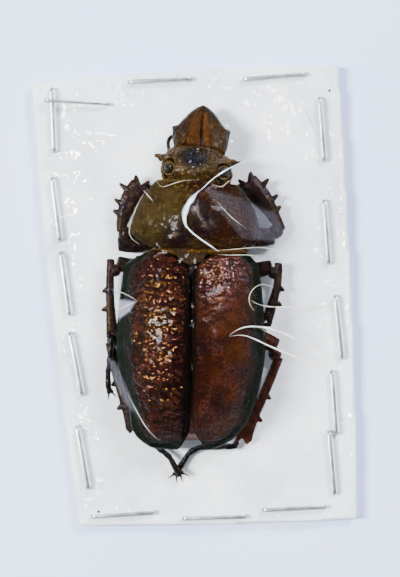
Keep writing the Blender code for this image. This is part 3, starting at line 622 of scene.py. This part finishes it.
# the neck reaches under the pronotum and the front edge up to the jaws
y -= (1 - ease(y, 14.6, 15.8)) * 0.6 * (1 - ease(np.abs(x), 4.0, 5.0))
z -= (1 - ease(y, 14.8, 16.2)) * 0.45
y += ease(y, 17.8, 18.9) * 0.4 * (1 - ease(np.abs(x), 3.4, 4.2))
place_points(head, spots)
middle = np.exp(-farness(spots, *HOLLOW_AT, HOLLOW_REACH)) * ease(facing[:, 2], 0, 0.5)
roughen(head, "VORONOI", 0.32, 0.14, 0.35, 1 - 0.6 * middle)
roughen(head, "CLOUDS", 0.9, 0.4)
paint(head, crest=crests(head, spots) * (1 - 0.7 * middle), seam=ease(middle, 0.12, 0.75),
      matt=0.4 - 0.2 * middle)
bronze = chitin("rugged_bronze_chitin", ("0C0803", "31220A"), ("5A4112", "462E0E"),
                ("100E06", "030203"), 0.8, (0.18, 0.36), ("FFE0A8", "F0F0FF"))
finish_piece(head, bronze, "head", "head")


# The eyes: two dark, glossy domes of hundreds of facets, half sunk in the head.
# Round each the head's chitin stands up in a rough golden ring, the orbit.
EYE_SHRINK = 0.72
EYE_RAISED = 0.12
ORBIT = (0.8, 0.14)
ORBIT_RAISED = 0.25
ORBIT_TILT = {"left": -0.35, "right": 0.35}

# Clear, hard facet lenses over black: the facets are drawn 0.09 mm wide.
eye_black = new_material("faceted_black_eye")
place = add(eye_black, "TexCoord", out="Object")
facets = add(eye_black, "TexVoronoi", {"Vector": place, "Scale": per_mm(0.09)})
eye_tint = add(eye_black, "ValToRGB", {"Fac": facets}, [(0.1, "0A0706"), (0.8, "1A120A")])
domes = add(eye_black, "Bump",
            {"Height": facets, "Strength": 0.12, "Distance": 0.02 * MM}, invert=True)
lenses = add(eye_black, "BsdfPrincipled",
             {"Base Color": eye_tint, "Normal": domes, "Roughness": 0.12, "Specular IOR Level": 0.25})
add(eye_black, "OutputMaterial", {"Surface": lenses})
brassy = chitin("brassy_orbit_chitin", ("191205", "2E230A"), ("4F3F12", "3F310E"),
                ("100E06", "040304"), 0.9, (0.3, 0.45), ("FFE8B0", "FFF0D8"), dull=0.3)

for side, skin in (("left", brassy), ("right", bronze)):
    eye, spots = remade("eye_dome_" + side, "eye_" + side, 0.06, 6)
    centre = (spots.min(0) + spots.max(0)) / 2
    place_points(eye, centre + (spots - centre) * EYE_SHRINK + (0, 0, EYE_RAISED))
    finish_piece(eye, eye_black, "eye", "eye_" + side)
    bpy.ops.mesh.primitive_torus_add(major_segments=48, minor_segments=16, major_radius=ORBIT[0] * MM,
                                     minor_radius=ORBIT[1] * MM, rotation=(0, ORBIT_TILT[side], 0),
                                     location=(centre + (0, 0, ORBIT_RAISED)) * MM)
    orbit = newest("eye_orbit_" + side)
    refine(orbit, 0.06, 1)
    spots = points_of(orbit)
    roughen(orbit, "CLOUDS", 0.3, 0.12)
    paint(orbit, crest=0.5 + 0.5 * crests(orbit, spots))
    finish_piece(orbit, skin, "head")


# The jaws: two stout, blunt-toothed blades that close to a triangle. Their outer
# edges are dark and glossy, and dense orange bristles fill their inner hollows.
PANELS = {
    # the bristled hollow's inner and outer side in x, at three places in y
    "left": ((18.6, 22.0, 23.6), (0.75, 0.8, 0.85), (-1.6, -0.7, 0.3)),
    "right": ((18.6, 22.0, 23.3), (1.15, 1.2, 1.3), (2.25, 1.9, 1.5)),
}
PANEL_DEPTH = 0.35
BRISTLES = 420
BRISTLE_LENGTH = 0.9
BRISTLE_WIDTH = 0.06
BRISTLE_LEAN = {"left": 0.12, "right": -0.08}
PATCH = 0.003
MEETING = 0.95
INWARD = {"left": 0.22, "right": -0.22}


def tree_over(pieces):
    """A tree by which the surface of these pieces is found, in mm."""
    points, faces = [], []
    for piece in pieces:
        first = len(points)
        points += [v.co / MM for v in piece.data.vertices]
        faces += [[first + k for k in p.vertices] for p in piece.data.polygons]
    return BVHTree.FromPolygons(points, faces)


def height_at(tree, x, y, missing=None):
    """Height of the surface at a place seen from above."""
    hit = tree.ray_cast(Vector((x, y, 40)), Vector((0, 0, -1)))[0]
    return missing if hit is None else hit.z


def panel_share(side, spots):
    """One inside the bristled hollow of a jaw seen from above, nothing outside it."""
    places, inner, outer = PANELS[side]
    x, y, _ = spots.T
    near, far = np.interp(y, places, inner), np.interp(y, places, outer)
    across = (x - near) / (far - near)
    return ease(across, -0.05, 0.12) * (1 - ease(across, 0.85, 1.05)) * (1 - ease(y, 23.2, 23.8))


def bristles(side, jaw, rng):
    """Short tapered hairs that lie in the hollow and point to the jaw's tip.

    Their UV map places each as a small patch at its root's share of the hollow's
    width and length, so that a bake gives each hair its own colour.
    """
    tree = tree_over([jaw])
    places, inner, outer = PANELS[side]
    half = BRISTLE_WIDTH / 2
    corners, faces, patches = [], [], []
    planted = 0
    while planted < BRISTLES:
        y = rng.uniform(places[0] + 0.4, places[2] - 0.3)
        share = rng.uniform(0.1, 0.9)
        x = np.interp(y, places, inner) * (1 - share) + np.interp(y, places, outer) * share
        level = height_at(tree, x, y)
        if level is None:
            continue
        planted += 1
        lean = rng.gauss(BRISTLE_LEAN[side], 0.12)
        length = BRISTLE_LENGTH * rng.uniform(0.7, 1.2)
        root = Vector((x, y, level - 0.05))
        middle = root + Vector((lean * 0.5, 0.5, 0.12 + rng.uniform(0, 0.1))) * length
        tip = root + Vector((lean * 1.3, 1.0, 0.02)) * length
        first = len(corners)
        for spot in (root, middle):
            corners += [spot + Vector(step) for step in ((-half, 0, 0), (half, 0, 0), (0, 0, 1.6 * half))]
        corners.append(tip)
        along = (y - places[0]) / (places[2] - places[0])
        patches += [(share + PATCH * (k % 3) / 2, along + PATCH * (k // 3) / 2) for k in range(7)]
        faces.append((first, first + 1, first + 2))
        for a, b in ((0, 1), (1, 2), (2, 0)):
            faces.append((first + b, first + a, first + 3 + a, first + 3 + b))
            faces.append((first + 3 + b, first + 3 + a, first + 6))
    mesh = bpy.data.meshes.new("jaw_bristles_" + side)
    mesh.from_pydata([c * MM for c in corners], [], faces)
    unwrap = mesh.uv_layers.new(name="OFBake")
    for loop in mesh.loops:
        unwrap.data[loop.index].uv = patches[loop.vertex_index]
    return placed("jaw_bristles_" + side, mesh)


plum = chitin("polished_plum_chitin", ("0E0904", "241707"), ("4A3110", "33200E"),
              ("070305", "241204"), 0.9, (0.24, 0.38), ("E8E0F0", "FFE8D8"), dull=0.6)
# Stiff orange-brown hairs of chitin, a little darker at random.
hair, *_, tint = mottled("orange_brown_bristle", 0.25, 2, "251203", "613709")
strand = add(hair, "BsdfPrincipled", {"Base Color": tint, "Roughness": 0.45})
add(hair, "OutputMaterial", {"Surface": strand})

for side in ("left", "right"):
    jaw, spots = remade("jaw_" + side, "mandible_" + side, 0.08, 3)
    facing = normals_of(jaw)
    spots += facing * 0.1
    x, y, z = spots.T
    # the blade reaches back to the head and in to the other blade
    y -= (1 - ease(y, 19.3, 20.6)) * 0.55
    x += INWARD[side] * (1 - ease(np.abs(x - MEETING), 0.2, 1.4))
    hollow = panel_share(side, spots) * ease(facing[:, 2], 0.3, 0.7)
    z -= hollow * PANEL_DEPTH
    place_points(jaw, spots)
    textured(jaw, ("CLOUDS", 0.6, 0.12), ("VORONOI", 0.3, 0.07, 0.4))
    paint(jaw, flank=1 - ease(facing[:, 2], 0.25, 0.7), seam=hollow)
    finish_piece(jaw, plum, "jaw", "mandible_" + side)
    finish_piece(bristles(side, jaw, random.Random(7)), hair, "jaw")


# The feelers and palps: jointed, elbowed threads of dark chitin at the sides of
# the mouth and under the head.
TUCK = {"antenna_left": 0.8, "palp_left": 0.97, "antenna_right": 0.8, "palp_right": 0.86}

brown = chitin("satin_brown_chitin", ("0C0806", "1A120C"), ("302210", "24181A"),
               ("1C1610", "1C1610"), 0.5, (0.32, 0.5), ("E8E0F0", "FFE8D8"), dull=0.3)
for node, inwards in TUCK.items():
    feeler, spots = remade("feeler_" + node, node, 0.06, 3)
    place_points(feeler, spots * (inwards, 1, 1))
    finish_piece(feeler, brown, "head", node)


# The trunk: the hard underside that carries the legs and the ringed hind body,
# which shows as an orange-brown tip between the wing cases' ends.
rust = chitin("ringed_rust_chitin", ("2A1204", "602E0A"), ("6C3E14", "5E3414"),
              ("3A2414", "2A1A10"), 0.5, (0.35, 0.5), ("FFE0C0", "FFE8D8"), dull=0.3)
for node, name, skin in (("thorax", "breast_plates", brown), ("abdomen", "hind_body_rings", rust)):
    trunk, spots = remade(name, node, 0.16, 5)
    spots[:, 1] += (1 - ease(spots[:, 1], -19.3, -17.5)) * 0.6
    place_points(trunk, spots)
    textured(trunk, ("VORONOI", 0.4, 0.06, 0.4))
    finish_piece(trunk, skin, "trunk", node)


# The legs: six, each of a thick thigh, a toothed shin and a jointed foot with two
# hooked claws, dark brown to purple, with worn golden-olive flats. A ball joint in
# the thigh closes the knee, and one in the foot the ankle.
KNEES = {"fore": 0.85, "mid": 0.72, "hind": 0.75}
ANKLE = 0.3
PLUMPER = {"fore": 0.14, "mid": 0.12, "hind": 0.14}
FOOT_PLUMPER = {"fore": 0.08, "mid": 0.09, "hind": 0.12}
LEG_CELL = 0.075
LEG_EDGE = ("0E0C06", "040304")
CLAW_REACH = 0.95
CLAW_SUNK = 0.15
CLAW_WIDTH = 0.26
CLAW_BOW = 0.3
CLAW_STEPS = 10


def joint_place(upper, lower):
    """The middle of the gap between two CAD nodes, where they come closest."""
    a, b = points_of(frame["nodes"][upper]), points_of(frame["nodes"][lower])
    apart = np.linalg.norm(a[:, None] - b[None], axis=2)
    first, second = np.unravel_index(np.argsort(apart, axis=None)[:16], apart.shape)
    return (a[first].mean(0) + b[second].mean(0)) / 2


def add_ball(piece, spot, radius):
    """Joins a ball of this radius to a piece."""
    bpy.ops.mesh.primitive_ico_sphere_add(subdivisions=3, radius=radius * MM, location=spot * MM)
    bpy.ops.object.transform_apply()
    piece.select_set(True)
    bpy.context.view_layer.objects.active = piece
    bpy.ops.object.join()


def claw_places(foot, ankle):
    """Where a foot's two claws begin, the direction they point in, and their tips."""
    spots = points_of(foot)
    from_ankle = np.linalg.norm(spots - ankle, axis=1)
    tip = spots[from_ankle.argmax()]
    past = np.linalg.norm(spots - tip, axis=1)
    aside = (past > 0.8) & (past < 1.4)
    other = spots[aside][from_ankle[aside].argmax()]
    middle = (tip + other) / 2
    behind = np.linalg.norm(spots - middle, axis=1)
    root = spots[(behind > 0.9) & (behind < 1.9)].mean(0)
    ahead = (middle - root) / np.linalg.norm(middle - root)
    return middle - ahead * CLAW_REACH, ahead, (tip, other)


def hooked_claws(name, root, ahead, tips):
    """Two slender claws that bow outwards from a foot's end and taper to their tips."""
    curve = new_curve(name)
    curve.bevel_depth = CLAW_WIDTH / 2 * MM
    curve.bevel_resolution = 3
    for tip in tips:
        start = root - ahead * CLAW_SUNK
        aside = (tip - root) - ahead * ((tip - root) @ ahead)
        knee = (root + tip) / 2 + (aside / np.linalg.norm(aside) + (0, 0, 0.6)) * CLAW_BOW
        spline = curve.splines.new("POLY")
        spline.points.add(CLAW_STEPS)
        for k, point in enumerate(spline.points):
            share = k / CLAW_STEPS
            spot = start * (1 - share) ** 2 + knee * 2 * share * (1 - share) + tip * share ** 2
            point.co = (*spot * MM, 1)
            point.radius = 1 - 0.85 * share ** 1.5
    claws = swept(name, curve, 0.0005)
    bpy.ops.object.shade_smooth()
    return claws


def worn(piece, plumper, skin, node):
    """Rounds a leg's piece off, roughens it and gives it its material."""
    modify(piece, "REMESH", mode="VOXEL", voxel_size=LEG_CELL * MM, use_smooth_shade=True)
    modify(piece, "DISPLACE", strength=plumper * MM, mid_level=0)
    refine(piece, LEG_CELL, 3)
    textured(piece, ("CLOUDS", 0.7, 0.1), ("VORONOI", 0.25, 0.04, 0.4))
    finish_piece(piece, skin, "limb", node)


leg_skin = chitin("dark_leg_chitin", ("0A0607", "180F0A"), ("4A3410", "2C1A1E"),
                  LEG_EDGE, 0.8, (0.22, 0.38), ("F0D8F8", "FFE8B8"), dull=0.55)
red_leg_skin = chitin("red_brown_leg_chitin", ("160806", "301508"), ("54300E", "3A1A1E"),
                      LEG_EDGE, 0.8, (0.26, 0.42), ("FFD8E0", "FFE8B8"), dull=0.55)
foot_skin = chitin("glossy_black_foot_chitin", ("050405", "0C0908"), ("20160C", "18100E"),
                   LEG_EDGE, 0.5, (0.18, 0.34), ("F0D8F8", "FFE8D8"), dull=0.4)
claw_skin = chitin("polished_claw_chitin", ("060303", "140804"), ("281608", "1C0E08"),
                   LEG_EDGE, 0.4, (0.12, 0.22), ("F0E0F8", "FFE8D8"), dull=0.3)
for where in [pair + side for pair in ("fore", "mid", "hind") for side in ("_left", "_right")]:
    pair = where.split("_")[0]
    femur, tibia, tarsus = (part + where for part in ("femur_", "tibia_", "tarsus_"))
    knee, ankle = joint_place(femur, tibia), joint_place(tibia, tarsus)
    skin = red_leg_skin if where == "hind_right" else leg_skin
    thigh = cad_copy("thigh_" + where, femur)
    add_ball(thigh, knee, KNEES[pair])
    worn(thigh, PLUMPER[pair], skin, femur)
    worn(cad_copy("shin_" + where, tibia), PLUMPER[pair], skin, tibia)
    foot = cad_copy("foot_" + where, tarsus)
    root, ahead, tips = claw_places(foot, ankle)
    with editing(foot):
        bpy.ops.mesh.bisect(plane_co=root * MM, plane_no=ahead, use_fill=True, clear_outer=True)
    add_ball(foot, ankle, ANKLE)
    worn(foot, FOOT_PLUMPER[pair], foot_skin, tarsus)
    finish_piece(hooked_claws("claws_" + where, root, ahead, tips), claw_skin, "limb", tarsus)


# The film: one sheet of thin clear cellophane, drawn over the beetle and stapled
# to the card round its rim. It hugs the high points, hangs in tents between them
# and the card, and its sharp creases are drawn white: partly the whitening of
# folded film, partly painted highlights where they catch the light.
FILM_CELLS = (180, 255)
FILM_WALL = 0.07
FILM_RIM = 2.6
FILM_TOUCH = 0.16
FILM_SHINE = (0.0006, 0.014)
RELAXING = 90
SOFTENED = 0.15
CRUMPLE = (0.28, 0.28, 3)
CRINKLE = (0.8, 0.6, 9)
CREASES = (
    # half width, height, whiteness and yellowness (white of folded film and painted highlight), and points
    # along the crease
    (0.13, 0.25, 1, 0.1, (7.9, 17.7), (6.6, 17.4), (5.2, 16.8), (3.9, 16.1), (2.2, 14.9), (0.9, 13.6),
     (0.1, 12.9)),
    (0.48, 0.3, 1, 0, (0.6, 13.5), (-0.5, 12.2), (-1.1, 11.2), (-1.35, 10.2), (-1.25, 9.3), (-1, 8.6)),
    (0.16, 0.22, 0.9, 0.15, (-1.35, 9.9), (-1, 8.7), (0.2, 7.6), (1.8, 6.5), (3.2, 5.6)),
    (0.07, 0.15, 0.6, 0.9, (2.6, 5.8), (4.4, 5.9), (6.4, 6.1), (8.7, 6.3), (11, 5.8), (13.7, 4.9)),
    (0.06, 0.12, 0.5, 0.9, (3, 5.3), (4.6, 5.2), (6.6, 5.3), (9, 5)),
    (0.07, 0.18, 0.55, 1, (10.4, 1), (9, 1.6), (7.9, 1.3), (7.2, 0.6), (6.9, -0.3), (7.1, -1.2),
     (7.7, -2)),
    (0.11, 0.2, 0.75, 0.8, (6.9, -0.4), (8.4, -1.2), (10.4, -1.5), (15.1, -1.3), (19.1, -1.2)),
    (0.2, 0.3, 1, 0.7, (4.4, -5), (5.3, -4.3), (7, -3.8), (9.4, -4.1), (11.7, -4.9), (15.1, -6.8),
     (18.4, -8.6)),
    (0.17, 0.25, 1, 0.8, (4.4, -5.1), (6.2, -4.9), (7.9, -5.6), (9.9, -6.6), (13.7, -8.2), (18, -9.8)),
    (0.06, 0.15, 0.6, 0.8, (7.9, -4), (10.2, -4.9), (13.2, -6.6), (16.8, -8.8)),
    (0.07, 0.1, 0.5, 0.8, (-6.6, 13.6), (-6, 12.9), (-5.3, 12.1)),
    (0.05, 0.08, 0.4, 1, (-4.9, 14.9), (-4.5, 14.1), (-3.9, 13.9), (-2.1, 14.6), (0.1, 14.9)),
    (0.06, 0.15, 0.35, 0.6, (-10.8, 0.9), (-8.9, 0.3), (-7.3, -0.6)),
    (0.07, 0.15, 0.5, 0.4, (-10.4, -2.2), (-8.9, -1.3), (-7.3, -0.7)),
    (0.12, 0.25, 0.6, 0, (-15, 21.8), (-12.4, 21.6), (-9.1, 21)),
    (0.1, 0.25, 0.5, 0, (-10.7, 29), (-9.6, 27), (-8.2, 24.6)),
    (0.08, 0.2, 0.5, 0, (-8.6, 28.6), (-8.5, 26.6), (-8, 24.4)),
    (0.16, 0.3, 0.6, 0.1, (13.6, 25.7), (14.5, 23.4), (16.2, 20.5)),
    (0.07, 0.2, 0.5, 0.1, (14.6, 25.2), (15.4, 23.2), (17.2, 21.4)),
    (0.05, 0.1, 0.35, 0.5, (2.9, 12), (4.6, 10), (6.6, 8.6)),
    (0.06, 0.1, 0.5, 1, (-6.1, 13.7), (-7, 12.4), (-7.9, 10.5), (-8.5, 8.4), (-8.2, 7.4), (-7, 6.6)),
    (0.05, 0.08, 0.45, 1, (2.2, 14.3), (3.5, 13.8), (4.3, 14.7), (5.3, 15.1)),
    (0.07, 0.1, 0.45, 0.8, (-8.5, -12.7), (-7.4, -14.9), (-6.2, -17), (-4.6, -18.6)),
)
VEILS = (
    # corners of a milky patch in the plan, clockwise, and how milky it is
    (((0.9, 14.2), (6, 12.6), (10.2, 11), (11.6, 8.2), (10.6, 6.9), (6, 7.2), (2.2, 12)), 0.014),
    (((7.6, 11.4), (10.6, 10.9), (11.8, 8.2), (10.6, 6.8), (7.2, 7.2)), 0.024),
    (((-10.4, -0.3), (-7.4, -0.6), (-8.2, -2), (-9.9, -3.2)), 0.16),
    (((-11.4, -7.8), (-10.2, -8.4), (-7.6, -14), (-7.2, -15.6), (-9, -14.2), (-10.8, -10.4)), 0.035),
)


def rounded_line(line):
    """The same line with its corners cut twice, so that it bends softly."""
    line = np.array(line, float)
    for _ in range(2):
        a, b = line[:-1], line[1:]
        inner = np.stack((a * 0.75 + b * 0.25, a * 0.25 + b * 0.75), 1).reshape(-1, 2)
        line = np.concatenate((line[:1], inner[1:-1], line[-1:]))
    return line


def along_crease(plan, line):
    """Distance of each point from a crease seen from above, and how far along it."""
    starts, spans = line[:-1], np.diff(line, axis=0)
    lengths = np.linalg.norm(spans, axis=1)
    from_start = plan[:, None] - starts
    t = np.clip((from_start * spans).sum(2) / lengths ** 2, 0, 1)
    away = np.linalg.norm(from_start - t[..., None] * spans, axis=2)
    share = (np.cumsum(lengths) - lengths + t * lengths) / lengths.sum()
    nearest = np.arange(len(plan)), away.argmin(1)
    return away[nearest], share[nearest]


def film_plan(shares):
    """Where each point of the flat sheet lies over the card, inside its bowed rim."""
    points = points_of(frame["nodes"]["film"])[:, :2]
    ends = [points[np.argmax(points @ key)] for key in np.array(((-1, 1), (1, 1), (1, -1), (-1, -1)))]
    u, v = shares[:, :1], shares[:, 1:]
    spots = (ends[0] * (1 - u) + ends[1] * u) * v + (ends[3] * (1 - u) + ends[2] * u) * (1 - v)
    for a, b, along, nearness in zip(ends, ends[1:] + ends[:1], (u, v, u, v), (v, u, 1 - v, 1 - u)):
        length = np.linalg.norm(b - a)
        way = (b - a) / length
        out = np.array((-way[1], way[0]))
        central = np.abs((points - a) @ way / length - 0.5) < 0.06
        bow = ((points[central] - a) @ out).max()
        spots += out * bow * 4 * along * (1 - along) * nearness
    return spots


def heights_over(tree, plan, missing):
    """Height of a surface above each place in the plan, by looking straight down."""
    return np.array([height_at(tree, x, y, missing) for x, y in plan], float)


def ripples(plan, across, along, layer):
    """Random ripples about nothing, this many to a mm across and along the sheet."""
    places = [Vector((x * across, y * along, layer)) for x, y in plan]
    return np.array([noise.turbulence(spot, 3, False) for spot in places]) - 0.5


cells_x, cells_y = FILM_CELLS
bpy.ops.mesh.primitive_grid_add(x_subdivisions=cells_x, y_subdivisions=cells_y, size=1)
film = newest("clear_film")
shares = np.array([(v.co.x + 0.5, v.co.y + 0.5) for v in film.data.vertices])
plan = film_plan(shares)
drape = heights_over(tree_over([frame["nodes"]["film"]]), plan, FILM_RIM)
beetle = [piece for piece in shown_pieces()
          if "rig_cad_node" not in piece and not piece.name.startswith(("wire_", "card_", "clear_"))]
under = heights_over(tree_over(beetle), plan, 0)

# The sheet settles: each point moves to the mean of its neighbours, but no lower
# than the beetle under it.
row = np.round(shares[:, 1] * cells_y).astype(int)
column = np.round(shares[:, 0] * cells_x).astype(int)
height = np.zeros((cells_y + 1, cells_x + 1))
lowest = np.zeros_like(height)
height[row, column] = drape - PRESSED
lowest[row, column] = under + FILM_TOUCH
for _ in range(RELAXING):
    mean = (height[:-2, 1:-1] + height[2:, 1:-1] + height[1:-1, :-2] + height[1:-1, 2:]) / 4
    height[1:-1, 1:-1] = np.maximum(mean, lowest[1:-1, 1:-1])
drape = height[row, column]
free = ease(drape - under, FILM_TOUCH + 0.1, FILM_TOUCH + 1.2)
tent = ease(drape, FILM_RIM + 0.1, FILM_RIM + 1.0)

# It is raised along its creases, crumpled where it hangs free, and crinkled at its hem.
raised = np.zeros(len(plan))
for width, tall, _, _, *line in CREASES:
    away, share = along_crease(plan, rounded_line(line))
    taper = ease(share, 0, 0.2) * (1 - ease(share, 0.8, 1))
    raised = np.maximum(raised, np.exp(-(away / (width + SOFTENED)) ** 2) * taper * tall)
drape = drape + raised + ripples(plan, *CRUMPLE) * (0.3 + 0.2 * free * tent)
from_rim = ((0.5 - np.abs(shares - 0.5)) * (plan.max(0) - plan.min(0))).min(1)
hem = (1 - ease(from_rim, 2.5, 7)) * ease(from_rim, 0, 0.8)
drape = drape + ripples(plan, *CRINKLE) * 0.3 * hem
place_points(film, np.column_stack((plan, np.maximum(drape, under + FILM_TOUCH))))

milk = np.zeros(len(plan))
for corners, strength in VEILS:
    depth = np.full(len(plan), 1e9)
    for a, b in zip(np.array(corners), np.roll(corners, -1, axis=0)):
        inward = np.array(((b - a)[1], (a - b)[0])) / np.linalg.norm(b - a)
        depth = np.minimum(depth, (plan - a) @ inward)
    milk = np.maximum(milk, ease(depth, -0.05, 0.35) * strength)
paint(film, milk=milk, flat=ease(normals_of(film)[:, 2], 0.45, 0.85) * (1 - 0.97 * ease(under, 2.1, 2.6)))
film_tree = tree_over([film])
modify(film, "SOLIDIFY", thickness=FILM_WALL * MM, offset=-1)
bpy.ops.object.shade_smooth()

# Clear cellophane, cast and calendered: it shows only by its gloss and by faint
# milky patches where it has been stretched.
clear = new_material("creased_clear_cellophane")
place = add(clear, "TexCoord", out="Object")
milkiness = add(clear, "Attribute", out="Fac", attribute_name="milk")
flatness = add(clear, "Attribute", out="Fac", attribute_name="flat")
crinkles = add(clear, "TexNoise", {"Vector": place, "Scale": per_mm(3), "Detail": 2})
crinkled = add(clear, "Bump", {"Height": crinkles, "Strength": 0.3, "Distance": 0.1 * MM})
edge_on = add(clear, "Fresnel", {"IOR": 1.28, "Normal": crinkled})
most = add(clear, "MapRange",
           {"Value": flatness, "To Min": FILM_SHINE[0], "To Max": FILM_SHINE[1]})
shine = add(clear, "Math", {0: edge_on, 1: most}, operation="MINIMUM")
through = add(clear, "BsdfTransparent", {"Color": (0.996, 0.998, 0.998, 1)})
mirror = add(clear, "BsdfPrincipled",
             {"Base Color": (1, 1, 1, 1), "Metallic": 1.0, "Roughness": 0.1, "Normal": crinkled})
skin = add(clear, "MixShader", {0: shine, 1: through, 2: mirror})
milky = add(clear, "BsdfPrincipled",
            {"Base Color": linear("C0BED0"), "Roughness": 0.5, "Normal": crinkled})
sheet = add(clear, "MixShader", {0: milkiness, 1: skin, 2: milky})
add(clear, "OutputMaterial", {"Surface": sheet})
finish_piece(film, clear, "film", "film")


# The folds: where the film was pinched it stands in narrow, sharp fins. Each is a
# thin tapered rib on the film, crisp on one side and fading on the other. Its white
# is partly the whitening of folded film and partly a painted highlight.
RIB_STEP = 0.12
RIB_THIN = 0.012
RIB_PROFILE = (
    # across, up and whiteness round the rib's section, in half widths; the whiteness is partly a painted
    # highlight
    (-1, -0.05, 0.0), (-0.5, 0.35, 0.5), (0.25, 0.75, 1.0), (0.8, 0.3, 1.0), (1, -0.05, 0.8), (0, -0.12, 0.4),
)


def resampled(line, spacing):
    """Points at an even spacing along a line in the plan."""
    passed = np.concatenate(([0], np.cumsum(np.linalg.norm(np.diff(line, axis=0), axis=1))))
    places = np.linspace(0, passed[-1], max(8, int(passed[-1] / spacing)))
    return np.column_stack([np.interp(places, passed, line[:, k]) for k in (0, 1)])


def ribs(name):
    """The film's folds as one mesh of closed tapered ribs, with their white, partly a painted highlight, and
    their tint painted.
    """
    corners, faces, white, yellow = [], [], [], []
    sides = len(RIB_PROFILE)
    for width, _, whiteness, yellowness, *line in CREASES:
        path = resampled(rounded_line(line), RIB_STEP)
        ways = np.gradient(path, axis=0)
        ways /= np.linalg.norm(ways, axis=1)[:, None]
        first = len(corners)
        levels = heights_over(film_tree, path, FILM_RIM)
        for index, (spot, way, level) in enumerate(zip(path, ways, levels)):
            share = index / (len(path) - 1)
            swell = math.sin(math.pi * share)
            uneven = 0.75 + 0.5 * noise.noise(Vector((spot[0] * 0.7, spot[1] * 0.7, 1)))
            half = max(RIB_THIN, width * uneven * swell ** 0.75)
            patchy = 0.95 + 0.5 * noise.noise(Vector((spot[0] * 1.3, spot[1] * 1.3, 5)))
            for across, up, edge in RIB_PROFILE:
                x, y = spot + np.array((-way[1], way[0])) * across * half
                corners.append((x * MM, y * MM, (level + up * half) * MM))
                white.append(min(1, whiteness * edge * (0.55 + 0.45 * swell) * patchy))
                yellow.append(yellowness)
        last = len(corners) - sides
        for ring in range(first, last, sides):
            for k in range(sides):
                a, b = ring + k, ring + (k + 1) % sides
                faces.append((a, b, b + sides, a + sides))
        faces.append(tuple(first + k for k in reversed(range(sides))))
        faces.append(tuple(last + k for k in range(sides)))
    mesh = bpy.data.meshes.new(name)
    mesh.from_pydata(corners, [], faces)
    made = placed(name, mesh)
    paint(made, white=white, yellow=yellow)
    with editing(made):
        bpy.ops.mesh.normals_make_consistent(inside=False)
    bpy.ops.object.shade_smooth()
    return made


# Cellophane whitened by folding, with painted highlights where the folds catch the
# light: milky and glossy, bluish or, over the beetle's right side, yellowish.
whitened = new_material("whitened_cellophane_fold")
strength = add(whitened, "Attribute", out="Fac", attribute_name="white")
warmth = add(whitened, "Attribute", out="Fac", attribute_name="yellow")
fold_tint = add(whitened, "Mix", {0: warmth, 6: linear("DCF3FF"), 7: linear("FDFADC")},
                data_type="RGBA")
fold_body = add(whitened, "BsdfPrincipled", {"Base Color": fold_tint, "Roughness": 0.2})
clear_part = add(whitened, "BsdfTransparent")
fold_mix = add(whitened, "MixShader", {0: strength, 1: clear_part, 2: fold_body})
add(whitened, "OutputMaterial", {"Surface": fold_mix})
finish_piece(ribs("film_folds"), whitened, "film")


# The table top: a plain, matt surface that lies under the card and reaches out
# past every view. It is pale and a little bluish.
bpy.ops.mesh.primitive_plane_add(size=3, location=(0, 0, 0))
table = newest("table_top")
pale, *_, tint = mottled("pale_table_top", 50, 2, "BACAEE", "C6D4F3")
surface = add(pale, "BsdfPrincipled",
              {"Base Color": tint, "Roughness": 0.7, "Specular IOR Level": 0.2})
add(pale, "OutputMaterial", {"Surface": surface})
table.data.materials.append(pale)


# The light of a bright room: a narrow, high window to the left, which gives the
# wrinkles their small glints, a weaker one to the upper right, and a pale sky that
# is brighter at the sides than overhead.
for name, place, size, power, colour in (
        ("window", (-0.46, 0.04, 0.6), (0.1, 0.28), 19.5, "FFFFFF"),
        ("far_window", (0.34, 0.42, 0.6), (0.22, 0.22), 12.5, "F8F4FF")):
    light = bpy.data.lights.new(name, "AREA")
    light.shape = "RECTANGLE"
    light.size, light.size_y = size
    light.energy = power
    light.color = linear(colour)[:3]
    lamp = placed(name, light)
    lamp.location = place
    lamp.rotation_euler = (-Vector(place)).to_track_quat("-Z", "Y").to_euler()

sky = bpy.data.worlds.new("room")
sky.use_nodes = True
look = add(sky, "TexCoord", out="Generated")
rising = add(sky, "SeparateXYZ", {"Vector": look}, out="Z")
bands = add(sky, "MapRange",
            {"Value": rising, "From Min": 0.2, "From Max": 0.8, "To Min": 1.75, "To Max": 0.3})
background = sky.node_tree.nodes["Background"]
background.inputs["Color"].default_value = linear("F2F6FF")
sky.node_tree.links.new(bands, background.inputs["Strength"])
bpy.context.scene.world = sky


# The camera looks straight down, a little right of and above the card's centre,
# 300 mm above its face, and 400 px of the picture span 52.6 mm of the card.
EYE = (0.70, 0.97, 302)
PIXELS_PER_MM = 7.6
PICTURE_TALL = 577

lens = bpy.data.cameras.new("camera")
lens.sensor_width = 36
lens.lens = lens.sensor_width * (EYE[2] - CARD_FACE) / (PICTURE_TALL / PIXELS_PER_MM)
lens.clip_start = 0.01
lens.clip_end = 10
camera = placed("camera", lens)
camera.location = Vector(EYE) * MM
bpy.context.scene.camera = camera
